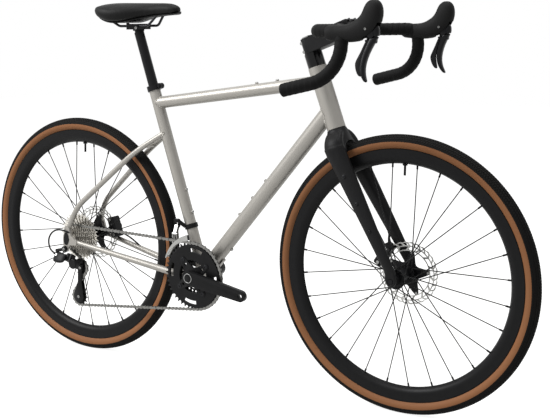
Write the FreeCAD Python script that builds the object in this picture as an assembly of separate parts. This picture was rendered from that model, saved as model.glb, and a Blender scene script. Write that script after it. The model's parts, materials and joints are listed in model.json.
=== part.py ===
import FreeCAD, Part
import math
import os

# A gravel bike, in millimetres. +X is forward, the drive side is at -Y and +Z is up.
# The origin is on the ground, midway between the two wheel axles.

# Gaps and overruns that many pieces share
fit_gap = 0.05
free_gap = 0.4
overrun = 10.0
bend_share = 0.45

# Stance
wheelbase = 1041.0
wheel_radius = 350.0
chainstay_length = 443.0
bottom_bracket_drop = 64.0
head_angle = 70.4
seat_angle = 73.0
fork_rake = 50.8
fork_length = 396.0

# Frame tubes
head_tube_length = 160.0
head_tube_radius = 23.8
head_tube_wall = 3.2
seat_tube_length = 523.0
seat_tube_radius = 15.9
seat_slit_width = 1.6
seat_slit_length = 20.0
seat_keyhole_radius = 2.6
top_tube_radius = 16.2
top_tube_wall = 1.2
top_tube_seat_station = 488.0
top_tube_head_station = 122.0
down_tube_radius = 21.0
down_tube_wall = 1.2
down_tube_head_station = 48.0
shell_radius = 22.5
shell_bore_radius = 17.0
shell_width = 68.0
port_length = 34.0
port_width = 15.0
port_height = 4.0
port_station = 62.0

# Threaded bosses for bottle cages and racks
boss_radius = 4.6
boss_height = 2.2
boss_depth = 11.0
boss_thread_radius = 2.1
boss_spacing = 64.0
down_tube_boss_station = 215.0
down_tube_under_station = 121.0
seat_tube_boss_station = 172.0
top_tube_boss_station = 334.0

# Chainstays and seatstays
chainstay_front_radius = 11.1
chainstay_rear_radius = 6.6
chainstay_wall = 1.2
chainstay_front_back = 12.0
chainstay_front_offset = 19.5
chainstay_front_fall = 17.0
chainstay_rear_ahead = 27.0
chainstay_rear_offset = 69.5
chainstay_rear_fall = 7.5
chainstay_bridge_radius = 6.0
chainstay_bridge_station_share = 0.14
seatstay_radius = 7.6
seatstay_station = 402.0
seatstay_top_offset = 9.0
seatstay_bend_ahead = 230.0
seatstay_bend_rise = 265.0
seatstay_bend_offset = 32.0
seatstay_knee_ahead = 28.0
seatstay_knee_rise = 96.0
seatstay_knee_offset = 60.0
seatstay_foot_rise = 32.0
seatstay_foot_offset = 70.0
seatstay_bridge_radius = 6.0
seatstay_bridge_ahead = 255.0
seatstay_bridge_rise = 281.0

# Rear dropouts, derailleur hanger and rear axle
rear_spacing = 142.0
dropout_thickness = 7.0
dropout_axle_radius = 17.0
dropout_stay_radius = 8.5
hanger_back = 9.0
hanger_drop = 29.0
hanger_radius = 8.0
hanger_bolt_radius = 5.0
axle_radius = 6.0
axle_head_radius = 9.0
axle_head_length = 6.0

# Wheels: tyre, rim, spokes and valve
tyre_radius = 19.0
tyre_wall = 3.0
bead_seat_radius = 311.0
bead_half_width = 11.3
bead_width = 3.0
flange_height = 4.4
rim_half_width = 13.5
rim_shoulder_radius = 300.0
rim_inner_radius = 279.0
rim_side_bulge = 8.6
rim_side_radius = 285.0
rim_wall = 2.4
spokes_per_side = 14
spoke_crosses = 2
spoke_radius = 0.9
spoke_head_radius = 1.9
spoke_head_length = 0.8
spoke_side_step = 2.95
spoke_rim_offset = 1.5
nipple_radius = 2.0
nipple_length = 14.0
nipple_head_radius = 3.0
nipple_head_length = 2.5
nipple_hole_radius = 2.4
nipple_seat = 5.5
valve_radius = 2.9
valve_reach = 28.0
valve_nut_radius = 6.0
valve_nut_height = 3.5
front_valve_angle = 88.5
rear_valve_angle = 86.6

# Hubs and brake rotors
front_spacing = 100.0
hub_end_gap = 0.3
hub_body_radius = 14.5
hub_end_radius = 14.0
hub_bore_radius = 11.0
hub_bearing_width = 8.0
flange_radius = 25.0
flange_hole_circle = 21.0
flange_hole_radius = 1.3
flange_half_thickness = 1.2
front_left_flange = 20.0
front_right_flange = 34.0
rear_left_flange = 34.0
rear_right_flange = 18.5
rear_hub_right_end = 22.6
rotor_boss_radius = 17.0
rotor_boss_length = 12.0
rotor_radius = 80.0
rotor_band_width = 13.0
rotor_thickness = 1.8
rotor_hole_count = 36
rotor_hole_radius = 2.7
front_rotor_place = 39.5
rear_rotor_place = 52.0
carrier_radius = 24.0
carrier_thickness = 3.0
carrier_arm_count = 5
carrier_arm_base = 13.0
carrier_arm_tip = 4.5
carrier_arm_gap = 0.2
lockring_radius = 20.5
lockring_height = 2.6

# Drivetrain: chain, cogs, chainrings and crank
chain_pitch = 12.7
chain_line = 47.0
roller_radius = 3.85
pin_radius = 1.75
pin_bore_radius = 1.9
inner_plate_near = 1.15
inner_plate_far = 1.95
outer_plate_near = 2.05
outer_plate_far = 2.8
plate_radius = 4.2
plate_waist = 2.9
tooth_thickness = 1.8
tooth_height = 3.7
tooth_tip_half = 1.0
tooth_valley_radius = 4.15
tooth_valley_angle = 68.0
cog_teeth = [11, 13, 15, 17, 19, 21, 23, 25, 27, 30, 34]
chain_cog = 4
cog_step = 3.74
freehub_radius = 15.0
freehub_end = 70.7
freehub_start = 23.2
cassette_lockring_radius = 18.0
big_ring_teeth = 46
small_ring_teeth = 30
small_ring_step = 7.5
big_ring_band = 21.0
small_ring_band = 13.0
ring_arm_count = 4
ring_tab_radius = 9.0
big_ring_bolt_circle = 55.0
small_ring_bolt_circle = 40.0
ring_bolt_radius = 4.0
ring_bolt_head_radius = 6.0
ring_bolt_head = 1.6
crank_length = 172.5
crank_angle = -9.5
spider_angle = 45.0
spindle_radius = 12.0
spindle_bore_radius = 9.0
spindle_half_length = 74.0
crank_boss_radius = 20.0
crank_end_radius = 15.0
crank_arm_thickness = 13.0
crank_root_share = 0.9
crank_boss_inner = 45.4
crank_face = 75.0
spider_thickness = 5.0
spider_arm_half = 9.0
pedal_thread_radius = 6.55
cup_radius = 21.5
cup_length = 10.5
cup_sleeve_length = 12.0
crank_cap_radius = 10.0
crank_cap_height = 1.5

# Rear derailleur
guide_ahead = 22.5
guide_drop = 88.0
guide_teeth = 11
tension_teeth = 13
cage_length = 90.0
natural_cage_angle = 8.0
cage_angle_low = -20.0
cage_angle_high = 35.0
cage_pivot_ahead = 4.0
cage_pivot_rise = 19.0
cage_plate_gap = 5.0
cage_plate_thickness = 2.0
cage_top_radius = 9.0
cage_low_radius = 19.0
cage_waist_radius = 6.5
pulley_bolt_radius = 2.5
pulley_hub_radius = 6.0
pulley_tooth_height = 2.6
derailleur_link_length = 38.0
derailleur_link_gap = 14.0
derailleur_slant = 33.0
link_barrel_radius = 5.0
link_half_width = 8.0
link_plate_half = 2.0
link_pin_radius = 2.4
link_ear_radius = 6.0
link_ear_thickness = 3.0
link_web_thickness = 5.5
link_web_gap = 7.0
link_base_back = 32.5
link_base_drop = 52.0
link_base_offset = 84.0
b_knuckle_radius = 8.6
b_knuckle_length = 7.0
b_knuckle_arm_radius = 4.8
p_knuckle_radius = 10.5
p_knuckle_near = 57.0
p_knuckle_far = 76.0
cage_shaft_radius = 5.0

# Front derailleur
front_mech_station = 135.0
front_mech_band = 3.0
front_mech_band_height = 13.0
front_mech_arm_radius = 5.5
front_mech_lift = 16.0
front_mech_pivot_back = 68.0
front_mech_pivot_rise = 132.0
front_mech_pivot_offset = 27.0
front_mech_link_out = 10.0
front_mech_link_down = 22.0
front_mech_barrel_radius = 4.5
front_mech_pin_radius = 2.0
front_mech_link_half = 5.0
front_mech_ear_thickness = 2.4
front_cage_start_angle = 98.0
front_cage_end_angle = 155.0
front_cage_clearance = 2.4
front_cage_height = 15.0
front_cage_tail_height = 8.0
front_cage_gap = 4.6
front_cage_plate = 1.5
front_cage_bridge = 4.0
front_cage_drop = 26.0

# Fork
steerer_radius = 14.3
steerer_wall = 2.5
crown_top_radius = 24.5
crown_shoulder_depth = 62.0
crown_shoulder_half = 57.0
crown_half_length = 27.0
crown_shoulder_length = 29.0
tunnel_clearance = 9.0
tunnel_half_width = 27.0
tunnel_round = 24.0
leg_top_depth = 45.0
leg_top_offset = 41.0
leg_top_half_width = 16.0
leg_top_half_length = 28.0
leg_foot_rise = 24.0
leg_foot_offset = 57.5
leg_foot_half_width = 8.0
leg_foot_half_length = 13.0
leg_foot_back = 4.0
fork_end_thickness = 13.0
fork_end_radius = 14.0
fork_boss_rise = 118.0
fork_boss_count = 3

# Headset, spacers, stem and bolts
headset_bearing_height = 8.0
headset_bearing_inset = 1.0
crown_gap = 0.6
spacer_radius = 22.8
spacer_count = 4
spacer_height = 8.8
spacer_gap = 0.05
stem_length = 110.0
stem_height = 40.0
stem_half_width = 21.0
stem_clamp_radius = 21.0
stem_clamp_half = 23.0
stem_front_share = 0.85
stem_body_height = 36.0
faceplate_gap = 1.5
bar_clamp_radius = 15.9
bar_clamp_half = 45.0
bar_taper_half = 68.0
clamp_bolt_radius = 2.5
clamp_bolt_head_radius = 4.2
clamp_bolt_head = 4.0
clamp_bolt_rise = 19.2
clamp_bolt_offset = 15.0
pinch_bolt_rise = 11.0
pinch_bolt_reach = 9.0
top_cap_radius = 17.0
top_cap_height = 3.0

# Handlebar, tape and brake hoods, with places measured from the middle of the bar's clamp
bar_radius = 11.9
bar_wall = 2.0
bar_corner_half = 160.0
bar_corner_round = 40.0
bar_reach = 94.0
bar_hood_half = 197.0
bar_hook_round = 28.0
bar_drop_round = 88.0
bar_drop = 101.0
bar_drop_half = 214.0
bar_end_back = 41.0
bar_end_drop = 132.0
bar_end_half = 234.0
tape_radius = 15.4
tape_start = 72.0
plug_radius = 14.0
plug_height = 3.0
hood_start = 52.0
hood_length = 125.0
hood_horn_rise = 57.0
hood_half_height = 27.0
hood_half_width = 17.5
hood_station_shares = [0.0, 0.288, 0.568, 0.808, 0.952, 1.0]
hood_rise_shares = [-0.07, -0.07, 0.0, 0.263, 0.702, 1.0]
hood_height_shares = [0.70, 0.78, 0.87, 1.0, 0.78, 0.35]
hood_width_shares = [0.94, 0.97, 1.0, 1.0, 0.89, 0.33]
hood_tilts = [0.0, 0.0, 14.0, 44.0, 70.0, 76.0]
hood_slot_half = 10.4
hood_slot_back = 142.0
hood_slot_top = 17.0

# Brake levers and shift paddles, with places measured from the middle of the bar's clamp
lever_pin_forward = 159.0
lever_pin_rise = 4.0
lever_pin_radius = 3.0
lever_block_radius = 8.0
lever_block_half = 9.6
swing_forward = 168.0
swing_drop = 22.0
swing_pin_radius = 2.4
swing_barrel_radius = 5.6
swing_half_length = 7.0
swing_ear_thickness = 3.5
blade_top_drop = 24.0
blade_length = 88.0
blade_bow = 15.0
blade_half_depth = 6.0
blade_half_width = 9.0
blade_flare = 19.0
blade_station_shares = [0.0, 0.23, 0.545, 0.82, 1.0]
blade_bow_shares = [0.0, 0.47, 1.0, 0.87, 0.4]
blade_depth_shares = [0.87, 1.0, 1.0, 0.83, 0.5]
blade_width_shares = [0.83, 0.94, 1.0, 0.94, 0.61]
blade_flare_shares = [0.0, 0.16, 0.47, 0.79, 1.0]
paddle_half_thickness = 2.2
paddle_barrel_length = 5.0
paddle_corner_forward = 134.0
paddle_corner_drop = 66.0
paddle_foot_forward = 143.0
paddle_foot_drop = 100.0
paddle_top_drop = 40.0
paddle_flare = 9.0
paddle_front_forward = 153.0
paddle_waist_forward = 146.0
paddle_waist_drop = 70.0

# Disc brake calipers and their hoses
caliper_slot_half = 1.7
caliper_depth = 24.0
caliper_height = 62.0
caliper_half_width = 17.0
caliper_round = 5.0
caliper_overlap = 15.0
pad_thickness = 1.2
pad_depth = 11.0
pad_height = 22.0
front_caliper_angle = 147.0
rear_caliper_angle = 17.0
hose_radius = 2.5

# Seatpost, clamp and saddle
seatpost_radius = 13.6
seatpost_wall = 2.0
seatpost_low_station = 400.0
seatpost_top_station = 690.0
collar_height = 14.0
collar_radius = 19.5
collar_lug = 8.0
collar_bolt_radius = 2.5
collar_bolt_head_radius = 4.2
collar_bolt_out = 4.0
rail_radius = 3.5
rail_half_spacing = 22.0
rail_station = 707.9
rail_clamp_ahead = 4.0
cradle_length = 40.0
cradle_height = 9.0
cradle_half_width = 28.0
cradle_gap = 0.8
cradle_neck_radius = 12.5
clamp_plate_height = 5.5
clamp_bolt_reach = 30.0
clamp_bolt_spread = 15.0
saddle_length = 269.0
saddle_nose_ahead = 146.0
saddle_half_width = 74.0
saddle_rise = 63.5
saddle_top_fall = 17.5
saddle_skirt_rise = 12.0
saddle_skirt_arch = 28.0
saddle_station_shares = [0.0, 0.03, 0.123, 0.271, 0.439, 0.606, 0.773, 0.903, 0.974, 1.0]
saddle_width_shares = [0.405, 0.703, 0.959, 1.0, 0.811, 0.5, 0.338, 0.284, 0.223, 0.108]
saddle_fall_shares = [0.6, 0.257, 0.029, 0.0, 0.086, 0.143, 0.143, 0.257, 0.6, 1.0]
saddle_arch_shares = [1.0, 0.75, 0.321, 0.0, 0.143, 0.429, 0.607, 0.679, 0.75, 0.893]
saddle_crown_share = 0.72
saddle_crown_drop_share = 0.16
saddle_side_share = 0.45
saddle_tuck_share = 0.86
shell_inset_share = 0.8
shell_thickness = 3.0
rail_rear_back = 76.0
rail_rear_bend_back = 49.0
rail_front_bend_ahead = 52.0
rail_front_ahead = 78.0
rail_rear_half = 30.0
rail_front_half = 14.0
rail_bend_round = 18.0

# Shift housing and rear brake hose, as points chosen along their routes
housing_radius = 2.5
housing_route = [(-512.0, -76.0, 371.0), (-533.0, -83.0, 378.0), (-556.0, -86.0, 377.0),
                 (-576.0, -86.5, 365.0), (-588.0, -86.5, 346.0), (-588.0, -86.0, 325.0),
                 (-581.0, -84.0, 309.0), (-567.0, -81.5, 302.0)]
rear_hose_route = [(-340.0, 50.3, 316.0), (-372.0, 54.0, 333.5), (-404.0, 56.5, 349.0),
                   (-436.0, 57.5, 358.0)]
front_hose_route = [(464.0, 47.0, 410.0), (460.5, 48.0, 428.0), (463.0, 51.0, 446.0), (471.0, 53.0, 460.0)]


# Places and directions that follow from the stance

V = FreeCAD.Vector
ORIGIN = V(0, 0, 0)
ALONG_X = V(1, 0, 0)
ALONG_Y = V(0, 1, 0)


def polar(angle):
    """Unit direction in the XZ plane, measured from +X towards +Z, in degrees."""
    return V(math.cos(math.radians(angle)), 0, math.sin(math.radians(angle)))


rear_axle = V(-wheelbase / 2, 0, wheel_radius)
front_axle = V(wheelbase / 2, 0, wheel_radius)
bb_reach = math.sqrt(chainstay_length ** 2 - bottom_bracket_drop ** 2)
bb = rear_axle + V(bb_reach, 0, -bottom_bracket_drop)
steer_up = polar(180 - head_angle)
steer_ahead = polar(90 - head_angle)
seat_up = polar(180 - seat_angle)
head_bottom = front_axle + steer_up * fork_length - steer_ahead * fork_rake
head_top = head_bottom + steer_up * head_tube_length
seat_top = bb + seat_up * seat_tube_length
top_tube_rear = bb + seat_up * top_tube_seat_station
top_tube_front = head_bottom + steer_up * top_tube_head_station
down_tube_front = head_bottom + steer_up * down_tube_head_station
spacer_base = head_top + steer_up * crown_gap
stem_base = spacer_base + steer_up * (spacer_count * (spacer_height + spacer_gap))
stem_middle = stem_base + steer_up * (stem_height / 2)
bar_middle = stem_middle + steer_ahead * stem_length
hanger = rear_axle + V(-hanger_back, 0, -hanger_drop)
dropout_inner = rear_spacing / 2
dropout_outer = dropout_inner + dropout_thickness


# Shapes that many pieces use


def rod(start, end, radius, end_radius=None):
    """Solid cylinder, or cone, from one point to another."""
    along = end - start
    if end_radius is None or end_radius == radius:
        return Part.makeCylinder(radius, along.Length, start, along)
    return Part.makeCone(radius, end_radius, along.Length, start, along)


def tube(start, end, radius, bore):
    return rod(start, end, radius).cut(rod(start, end, bore))


def disc(centre, near, far, radius, bore=0):
    """Cylinder along Y about a point of the XZ plane, between two places along Y."""
    low = min(near, far)
    high = max(near, far)
    foot = V(centre.x, low, centre.z)
    shape = Part.makeCylinder(radius, high - low, foot, ALONG_Y)
    if bore:
        shape = shape.cut(Part.makeCylinder(bore, high - low, foot, ALONG_Y))
    return shape


def wire_face(points):
    return Part.Face(Part.makePolygon(points + [points[0]]))


def slab(points, near, far):
    """Straight-sided outline in the XZ plane, given thickness along Y."""
    low = min(near, far)
    high = max(near, far)
    return wire_face([V(p.x, low, p.z) for p in points]).extrude(V(0, high - low, 0))


def bone_face(start, start_radius, end, end_radius, across):
    """Face round two circles and their outer tangents, square to the direction across."""
    along = end - start
    reach = along.Length
    along = along / reach
    side = across.cross(along)
    lean = math.acos((start_radius - end_radius) / reach)
    arm_up = along * math.cos(lean) + side * math.sin(lean)
    arm_down = along * math.cos(lean) - side * math.sin(lean)
    first = start + arm_up * start_radius
    second = end + arm_up * end_radius
    third = end + arm_down * end_radius
    fourth = start + arm_down * start_radius
    edges = [Part.LineSegment(first, second).toShape(),
             Part.Arc(second, end + along * end_radius, third).toShape(),
             Part.LineSegment(third, fourth).toShape(),
             Part.Arc(fourth, start - along * start_radius, first).toShape()]
    return Part.Face(Part.Wire(edges))


def bone(start, start_radius, end, end_radius, near, far):
    """Plate along Y with two round ends."""
    low = min(near, far)
    high = max(near, far)
    face = bone_face(V(start.x, low, start.z), start_radius, V(end.x, low, end.z), end_radius, ALONG_Y)
    return face.extrude(V(0, high - low, 0))


def rounded_path(points, radii):
    """Straight runs joined by tangent arcs, and the first point and direction."""
    edges = []
    here = points[0]
    for before, corner, after, radius in zip(points, points[1:], points[2:], radii):
        arriving = (corner - before).normalize()
        leaving = (after - corner).normalize()
        turn = arriving.getAngle(leaving)
        reach = radius * math.tan(turn / 2)
        first = corner - arriving * reach
        last = corner + leaving * reach
        inward = (leaving - arriving).normalize()
        sagitta = radius / math.cos(turn / 2) - radius
        edges.append(Part.LineSegment(here, first).toShape())
        edges.append(Part.Arc(first, corner + inward * sagitta, last).toShape())
        here = last
    edges.append(Part.LineSegment(here, points[-1]).toShape())
    return Part.Wire(edges)


def sweep(path, start, direction, radius):
    section = Part.Wire(Part.makeCircle(radius, start, direction))
    return path.makePipeShell([section], True, False)


def bent_rod(points, radii, radius):
    path = rounded_path(points, radii)
    return sweep(path, points[0], points[1] - points[0], radius)


def cord(points, radius):
    """Cord whose arcs are as large as its runs allow; prints its radii and its volume's ratio."""
    radii = []
    for before, corner, after in zip(points, points[1:], points[2:]):
        turn = (corner - before).getAngle(after - corner)
        run = min((corner - before).Length, (after - corner).Length)
        radii.append(bend_share * run / math.tan(turn / 2))
    path = rounded_path(points, radii)
    solid = sweep(path, points[0], points[1] - points[0], radius)
    ratio = solid.Volume / (math.pi * radius ** 2 * path.Length)
    print("cord radii", [round(value, 1) for value in radii], "length", round(path.Length, 1),
          "volume ratio", round(ratio, 4))
    return solid


def ellipse_wire(centre, long_arm, short_arm):
    return Part.Wire(Part.Ellipse(centre + long_arm, centre + short_arm, centre).toShape())


def fuse(shapes):
    return shapes[0].multiFuse(shapes[1:]).removeSplitter()


def flip(shape):
    """The same piece on the other side of the bike."""
    return shape.mirror(ORIGIN, ALONG_Y)


def both_sides(shape):
    return [shape, flip(shape)]


def revolved(outline, centre):
    """Ring about Y through a centre, from a closed outline that stands above the centre."""
    return Part.Face(outline).revolve(centre, ALONG_Y, 360)


def export(name, solids):
    shape = solids[0] if len(solids) == 1 else Part.makeCompound(solids)
    for solid in solids:
        if not solid.isValid():
            print("not valid:", name)
    shape.exportStep("parts/" + name + ".step")


# Frame tubes


def boss(base, outward, tube_radius):
    """Threaded insert through a tube's wall, and the hole that takes it."""
    top = base + outward * (tube_radius + boss_height)
    foot = top - outward * boss_depth
    insert = tube(foot, top, boss_radius, boss_thread_radius)
    return insert, rod(foot, top, boss_radius)


def with_bosses(shape, places, tube_radius):
    solids = []
    for base, outward in places:
        insert, hole = boss(base, outward, tube_radius)
        shape = shape.cut(hole)
        solids.append(insert)
    return [shape] + solids


def head_tube():
    return [tube(head_bottom, head_top, head_tube_radius, head_tube_radius - head_tube_wall)]


def seat_tube():
    shape = tube(bb, seat_top, seat_tube_radius, seatpost_radius + fit_gap)
    shape = shape.cut(disc(bb, -shell_width, shell_width, shell_radius))
    ahead = V(seat_up.z, 0, -seat_up.x)
    keyhole = seat_top - seat_up * seat_slit_length
    shape = shape.cut(rod(keyhole, keyhole + ahead * (seat_tube_radius + overrun), seat_keyhole_radius))
    slit = Part.makeBox(seat_slit_width, seat_tube_radius + overrun, seat_slit_length)
    frame = FreeCAD.Matrix(0, ahead.x, seat_up.x, keyhole.x, -1, ahead.y, seat_up.y, seat_slit_width / 2,
                           0, ahead.z, seat_up.z, keyhole.z, 0, 0, 0, 1)
    shape = shape.cut(slit.transformGeometry(frame))
    places = []
    for step in range(2):
        station = seat_tube_boss_station + step * boss_spacing
        places.append((bb + seat_up * station, ahead))
    return with_bosses(shape, places, seat_tube_radius)


def top_tube():
    along = (top_tube_front - top_tube_rear).normalize()
    shape = tube(top_tube_rear, top_tube_front, top_tube_radius, top_tube_radius - top_tube_wall)
    shape = shape.cut(rod(bb, seat_top, seat_tube_radius))
    shape = shape.cut(rod(head_bottom, head_top, head_tube_radius))
    upward = V(-along.z, 0, along.x)
    places = []
    for step in range(2):
        station = top_tube_boss_station + step * boss_spacing
        places.append((top_tube_rear + along * station, upward))
    return with_bosses(shape, places, top_tube_radius)


def down_tube():
    along = (down_tube_front - bb).normalize()
    upward = V(-along.z, 0, along.x)
    shape = tube(bb, down_tube_front, down_tube_radius, down_tube_radius - down_tube_wall)
    shape = shape.cut(rod(bb, seat_top, seat_tube_radius))
    shape = shape.cut(rod(head_bottom, head_top, head_tube_radius))
    shape = shape.cut(disc(bb, -shell_width, shell_width, shell_radius))
    places = []
    for step in range(3):
        station = down_tube_boss_station + step * boss_spacing
        places.append((bb + along * station, upward))
    places.append((bb + along * down_tube_under_station, -upward))
    solids = with_bosses(shape, places, down_tube_radius)
    middle = bb + along * port_station - upward * (down_tube_radius - port_height)
    cover = Part.makeBox(port_length, port_width, port_height * 2)
    corner = middle - along * (port_length / 2) - V(0, port_width / 2, 0)
    frame = FreeCAD.Matrix(along.x, 0, -upward.x, corner.x, 0, 1, 0, corner.y,
                           along.z, 0, -upward.z, corner.z, 0, 0, 0, 1)
    grommet = cover.transformGeometry(frame).cut(rod(bb, down_tube_front, down_tube_radius))
    return solids + grommet.Solids


def bottom_bracket_shell():
    return [disc(bb, -shell_width / 2, shell_width / 2, shell_radius, shell_bore_radius)]


chainstay_front = bb + V(-chainstay_front_back, -chainstay_front_offset, -chainstay_front_fall)
chainstay_rear = rear_axle + V(chainstay_rear_ahead, -chainstay_rear_offset, -chainstay_rear_fall)


def dropout_plate():
    """Right-hand plate, without the derailleur hanger."""
    stay_end = V(chainstay_rear.x, 0, chainstay_rear.z)
    foot = rear_axle + V(0, 0, seatstay_foot_rise)
    lower = bone(rear_axle, dropout_axle_radius, stay_end, dropout_stay_radius,
                 -dropout_outer, -dropout_inner)
    upper = bone(rear_axle, dropout_axle_radius, foot, dropout_stay_radius,
                 -dropout_outer, -dropout_inner)
    hole = disc(rear_axle, -dropout_outer, -dropout_inner, axle_radius + fit_gap)
    return fuse([lower, upper]).cut(hole)


def dropouts():
    left = flip(dropout_plate())
    arm = bone(rear_axle, dropout_axle_radius, hanger, hanger_radius, -dropout_outer, -dropout_inner)
    bolt_hole = disc(hanger, -dropout_outer, -dropout_inner, hanger_bolt_radius + fit_gap)
    axle_hole = disc(rear_axle, -dropout_outer, -dropout_inner, axle_radius + fit_gap)
    right = fuse([dropout_plate(), arm]).cut(bolt_hole).cut(axle_hole)
    return [right, left]


def chainstay_rod():
    return rod(chainstay_front, chainstay_rear, chainstay_front_radius, chainstay_rear_radius)


def chainstays():
    outer = chainstay_rod()
    bore = rod(chainstay_front, chainstay_rear, chainstay_front_radius - chainstay_wall,
               chainstay_rear_radius - chainstay_wall)
    solid = outer.cut(disc(bb, -shell_width, shell_width, shell_radius)).cut(dropout_plate())
    stay = max(solid.cut(bore).Solids, key=lambda piece: piece.Volume)
    middle = chainstay_front + (chainstay_rear - chainstay_front) * chainstay_bridge_station_share
    bridge = rod(V(middle.x, middle.y, middle.z), V(middle.x, -middle.y, middle.z), chainstay_bridge_radius)
    for side in both_sides(outer):
        bridge = bridge.cut(side)
    return both_sides(stay) + [bridge]


def seatstay_solid():
    top = bb + seat_up * seatstay_station
    points = [V(top.x, -seatstay_top_offset, top.z),
              rear_axle + V(seatstay_bend_ahead, -seatstay_bend_offset, seatstay_bend_rise),
              rear_axle + V(seatstay_knee_ahead, -seatstay_knee_offset, seatstay_knee_rise),
              rear_axle + V(0, -seatstay_foot_offset, seatstay_foot_rise)]
    radii = []
    for before, corner, after in zip(points, points[1:], points[2:]):
        turn = (corner - before).getAngle(after - corner)
        run = min((corner - before).Length, (after - corner).Length)
        radii.append(bend_share * run / math.tan(turn / 2))
    return bent_rod(points, radii, seatstay_radius)


def seatstays():
    solid = seatstay_solid()
    stay = solid.cut(rod(bb, seat_top, seat_tube_radius)).cut(dropout_plate())
    stay = max(stay.Solids, key=lambda piece: piece.Volume)
    place = rear_axle + V(seatstay_bridge_ahead, 0, seatstay_bridge_rise)
    half = seatstay_bend_offset
    bridge = rod(place + V(0, -half, 0), place + V(0, half, 0), seatstay_bridge_radius)
    for side in both_sides(solid):
        bridge = bridge.cut(side)
    bridge = min(bridge.Solids, key=lambda piece: abs(piece.CenterOfMass.y))
    return both_sides(stay) + [bridge]


def seat_clamp():
    base = seat_top + seat_up * spacer_gap
    ring = tube(base, base + seat_up * collar_height, collar_radius, seatpost_radius + free_gap)
    ahead = V(seat_up.z, 0, -seat_up.x)
    middle = base + seat_up * (collar_height / 2) + ahead * (collar_radius + collar_bolt_out)
    half = collar_height / 2
    lugs = rod(middle + V(0, -half, 0), middle + V(0, half, 0), collar_lug)
    keep = rod(base - seat_up * overrun, seat_top + seat_up * (collar_height + overrun),
               seatpost_radius + free_gap)
    slot = Part.makeBox(collar_lug * 4, seat_slit_width, collar_height * 4,
                        middle + V(-collar_lug * 2, -seat_slit_width / 2, -collar_height * 2))
    bolt_hole = rod(middle + V(0, -overrun * 2, 0), middle + V(0, overrun * 2, 0),
                    collar_bolt_radius + fit_gap)
    collar = fuse([ring, lugs]).cut(keep).cut(slot).cut(bolt_hole)
    bolt = rod(middle + V(0, -half, 0), middle + V(0, half, 0), collar_bolt_radius)
    head = rod(middle + V(0, -half - collar_bolt_radius, 0), middle + V(0, -half, 0), collar_bolt_head_radius)
    return [collar, fuse([bolt, head])]


def headset_bearings():
    rings = []
    for base in (head_bottom + steer_up * headset_bearing_inset,
                 head_top - steer_up * (headset_bearing_inset + headset_bearing_height)):
        rings.append(tube(base, base + steer_up * headset_bearing_height,
                          head_tube_radius - head_tube_wall, steerer_radius + fit_gap))
    return rings


def bottom_bracket_cups():
    half = shell_width / 2
    flange = disc(bb, -half - cup_length, -half, cup_radius)
    sleeve = disc(bb, -half, -half + cup_sleeve_length, shell_bore_radius)
    bore = disc(bb, -half - cup_length, -half + cup_sleeve_length, spindle_radius + fit_gap)
    return both_sides(fuse([flange, sleeve]).cut(bore))


def rear_thru_axle():
    reach = dropout_outer + axle_head_length
    shaft = disc(rear_axle, -dropout_outer, dropout_outer, axle_radius)
    head = disc(rear_axle, dropout_outer, reach, axle_head_radius)
    return [fuse([shaft, head])]


# Wheels


def tyre(axle):
    core = wheel_radius - tyre_radius
    inner = tyre_radius - tyre_wall
    bead_in = bead_half_width - bead_width
    outer_low = core - math.sqrt(tyre_radius ** 2 - bead_half_width ** 2)
    inner_low = core - math.sqrt(inner ** 2 - bead_in ** 2)
    seat = bead_seat_radius + fit_gap

    def place(y, r):
        return axle + V(0, y, r)

    edges = [Part.Arc(place(bead_half_width, outer_low), place(0, wheel_radius),
                      place(-bead_half_width, outer_low)).toShape(),
             Part.LineSegment(place(-bead_half_width, outer_low), place(-bead_half_width, seat)).toShape(),
             Part.LineSegment(place(-bead_half_width, seat), place(-bead_in, seat)).toShape(),
             Part.LineSegment(place(-bead_in, seat), place(-bead_in, inner_low)).toShape(),
             Part.Arc(place(-bead_in, inner_low), place(0, core + inner),
                      place(bead_in, inner_low)).toShape(),
             Part.LineSegment(place(bead_in, inner_low), place(bead_in, seat)).toShape(),
             Part.LineSegment(place(bead_in, seat), place(bead_half_width, seat)).toShape(),
             Part.LineSegment(place(bead_half_width, seat), place(bead_half_width, outer_low)).toShape()]
    return [revolved(Part.Wire(edges), axle)]


def rim_section(axle, inset):
    """Deep rim's outline; a positive inset gives the hollow inside it."""
    def place(y, r):
        return axle + V(0, y, r)

    shoulder = rim_half_width - inset
    bed = bead_seat_radius - inset
    tip = rim_inner_radius + inset
    side = rim_side_bulge - inset / 2
    side_radius = rim_side_radius + inset
    right = Part.Arc(place(shoulder, rim_shoulder_radius), place(side, side_radius), place(0, tip)).toShape()
    left = Part.Arc(place(0, tip), place(-side, side_radius), place(-shoulder, rim_shoulder_radius)).toShape()
    if inset:
        top = Part.makePolygon([place(-shoulder, rim_shoulder_radius), place(-shoulder, bed),
                                place(shoulder, bed), place(shoulder, rim_shoulder_radius)])
    else:
        lip = bead_half_width + fit_gap
        crest = bead_seat_radius + flange_height
        top = Part.makePolygon([place(-shoulder, rim_shoulder_radius), place(-shoulder, crest),
                                place(-lip, crest), place(-lip, bed), place(lip, bed), place(lip, crest),
                                place(shoulder, crest), place(shoulder, rim_shoulder_radius)])
    return Part.Wire(top.Edges + [right, left])


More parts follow.
